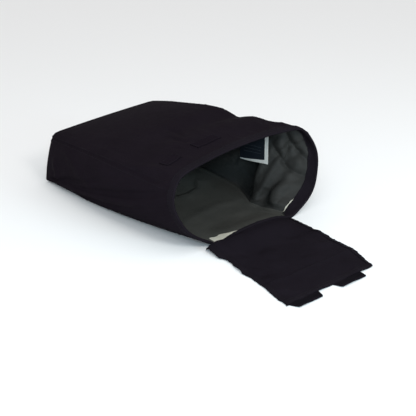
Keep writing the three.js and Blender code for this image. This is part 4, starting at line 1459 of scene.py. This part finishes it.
def armhole_ring(side, x):
    """Tape bound round the edge of the armhole, where the sleeve is sewn in."""
    columns = 120
    angle = np.arange(columns) / columns * 2 * math.pi
    rings = []
    for out, grow in ARMHOLE_PROFILE:
        half_width = SLEEVE_WIDTH / 2 + grow
        half_height = SLEEVE_HEIGHT / 2 + grow
        wobble = 0.25 * waves(60 * np.cos(angle), 60 * np.sin(angle), 14, 3)
        face = end_height(x + half_width * np.cos(angle), SLEEVE_MIDDLE + half_height * np.sin(angle))
        lie = 0.0 if out > 6 or out < 0 else 1.0
        y = HALF_DEPTH + out + face * lie
        z = np.maximum(SLEEVE_MIDDLE + (half_height + wobble) * np.sin(angle), 0.3)
        rings.append(np.stack([x + (half_width + wobble) * np.cos(angle), y, z], -1))
    points = np.stack(rings)
    uv = pairs(angle * 40 * MM, np.arange(len(ARMHOLE_PROFILE)) * 3 * MM)
    faces = quads(index_grid(*points.shape[:2], 0, 1), turned=True).tolist()
    return mesh_object(f"armhole_tape_{side}", points.reshape(-1, 3), faces, uv, MATERIALS["tape"])


def end_height(x, z):
    """How far the closed end bulges out beyond its plane at x and z."""
    u = np.clip((x - END["left_foot"]) / (END["right_foot"] - END["left_foot"]), 0, 1)
    v = np.clip(z / END["left_height"], 0, 1)
    return END_BOW * 16 * u * (1 - u) * v * (1 - v)


# Camera, stage and lights

# The camera fitted to the photo: its angles in degrees, the place it is aimed at and its distance from there
CAMERA_AZIMUTH = -40.06
CAMERA_ELEVATION = 23.308
CAMERA_ROLL = -0.685
CAMERA_TARGET = (-0.08417, -0.21855, 0.05681)
CAMERA_DISTANCE = 1.9598
CAMERA_LENS = 77.88

FLOOR_REACH = 6
WORLD_STRENGTH = 0.82

# Each light: its place, the place it is aimed at, its size, power and colour
LIGHTS = dict(
    key=((-0.26, -2.12, 1.68), (0, -0.2, 0.1), 0.6, 18, (1.0, 0.98, 0.94)),
    left_fill=((-1.28, -1.24, 1.5), (0.05, 0, 0.08), 0.7, 6, (0.9, 0.96, 1.0)),
    front_fill=((-1.15, -1.5, 0.86), (0.05, 0.1, 0.06), 0.3, 9, (0.55, 0.83, 1.0)),
    low_fill=((0.35, -2.35, 0.8), (-0.05, 0, 0.05), 0.6, 12, (0.6, 0.88, 1.0)),
)


def make_camera():
    azimuth, elevation = math.radians(CAMERA_AZIMUTH), math.radians(CAMERA_ELEVATION)
    level = math.cos(elevation)
    back = Vector((math.sin(azimuth) * level, -math.cos(azimuth) * level, math.sin(elevation)))
    data = bpy.data.cameras.new("camera")
    data.lens = CAMERA_LENS
    data.sensor_width = 36
    camera = link(bpy.data.objects.new("camera", data))
    camera.location = Vector(CAMERA_TARGET) + back * CAMERA_DISTANCE
    turned = (-back).to_track_quat("-Z", "Y") @ Quaternion((0, 0, 1), math.radians(CAMERA_ROLL))
    camera.rotation_euler = turned.to_euler()
    data.clip_end = 20
    bpy.context.scene.camera = camera


def make_stage():
    mesh = bpy.data.meshes.new("floor")
    corner_signs = ((-1, -1), (1, -1), (1, 1), (-1, 1))
    mesh.from_pydata([(x * FLOOR_REACH, y * FLOOR_REACH, 0) for x, y in corner_signs], [], [(0, 1, 2, 3)])
    floor = link(bpy.data.objects.new("floor", mesh))
    floor.location.z = -0.0005
    material, _, _, shader = new_material("floor")
    shader.inputs["Base Color"].default_value = (0.9, 0.9, 0.9, 1)
    shader.inputs["Roughness"].default_value = 0.9
    mesh.materials.append(material)
    world = bpy.data.worlds.new("studio")
    bpy.context.scene.world = world
    world.use_nodes = True
    background = world.node_tree.nodes["Background"]
    background.inputs["Color"].default_value = (1, 1, 1, 1)
    background.inputs["Strength"].default_value = WORLD_STRENGTH


def add_light(name, place, target, size, power, color):
    data = bpy.data.lights.new(name, "AREA")
    data.size = size
    data.energy = power
    data.color = color
    light = link(bpy.data.objects.new(name, data))
    light.location = place
    light.rotation_euler = (Vector(target) - Vector(place)).to_track_quat("-Z", "Y").to_euler()


make_camera()
make_stage()
for name, look in LIGHTS.items():
    add_light(name, *look)
draped = Drape(*drape())
make_panels(draped)
make_end(draped)
make_hem(draped)
make_lining_painted_highlight(draped)
make_bag_stitching(draped)
make_flap(draped)
for number, side in enumerate(("left", "right")):
    make_tab(side)
    make_loop_strip(side, draped)
    make_sleeve(side, SLEEVE_SIDES[side], number + 1)
make_label(draped)
bpy.context.scene.view_settings.view_transform = "Standard"
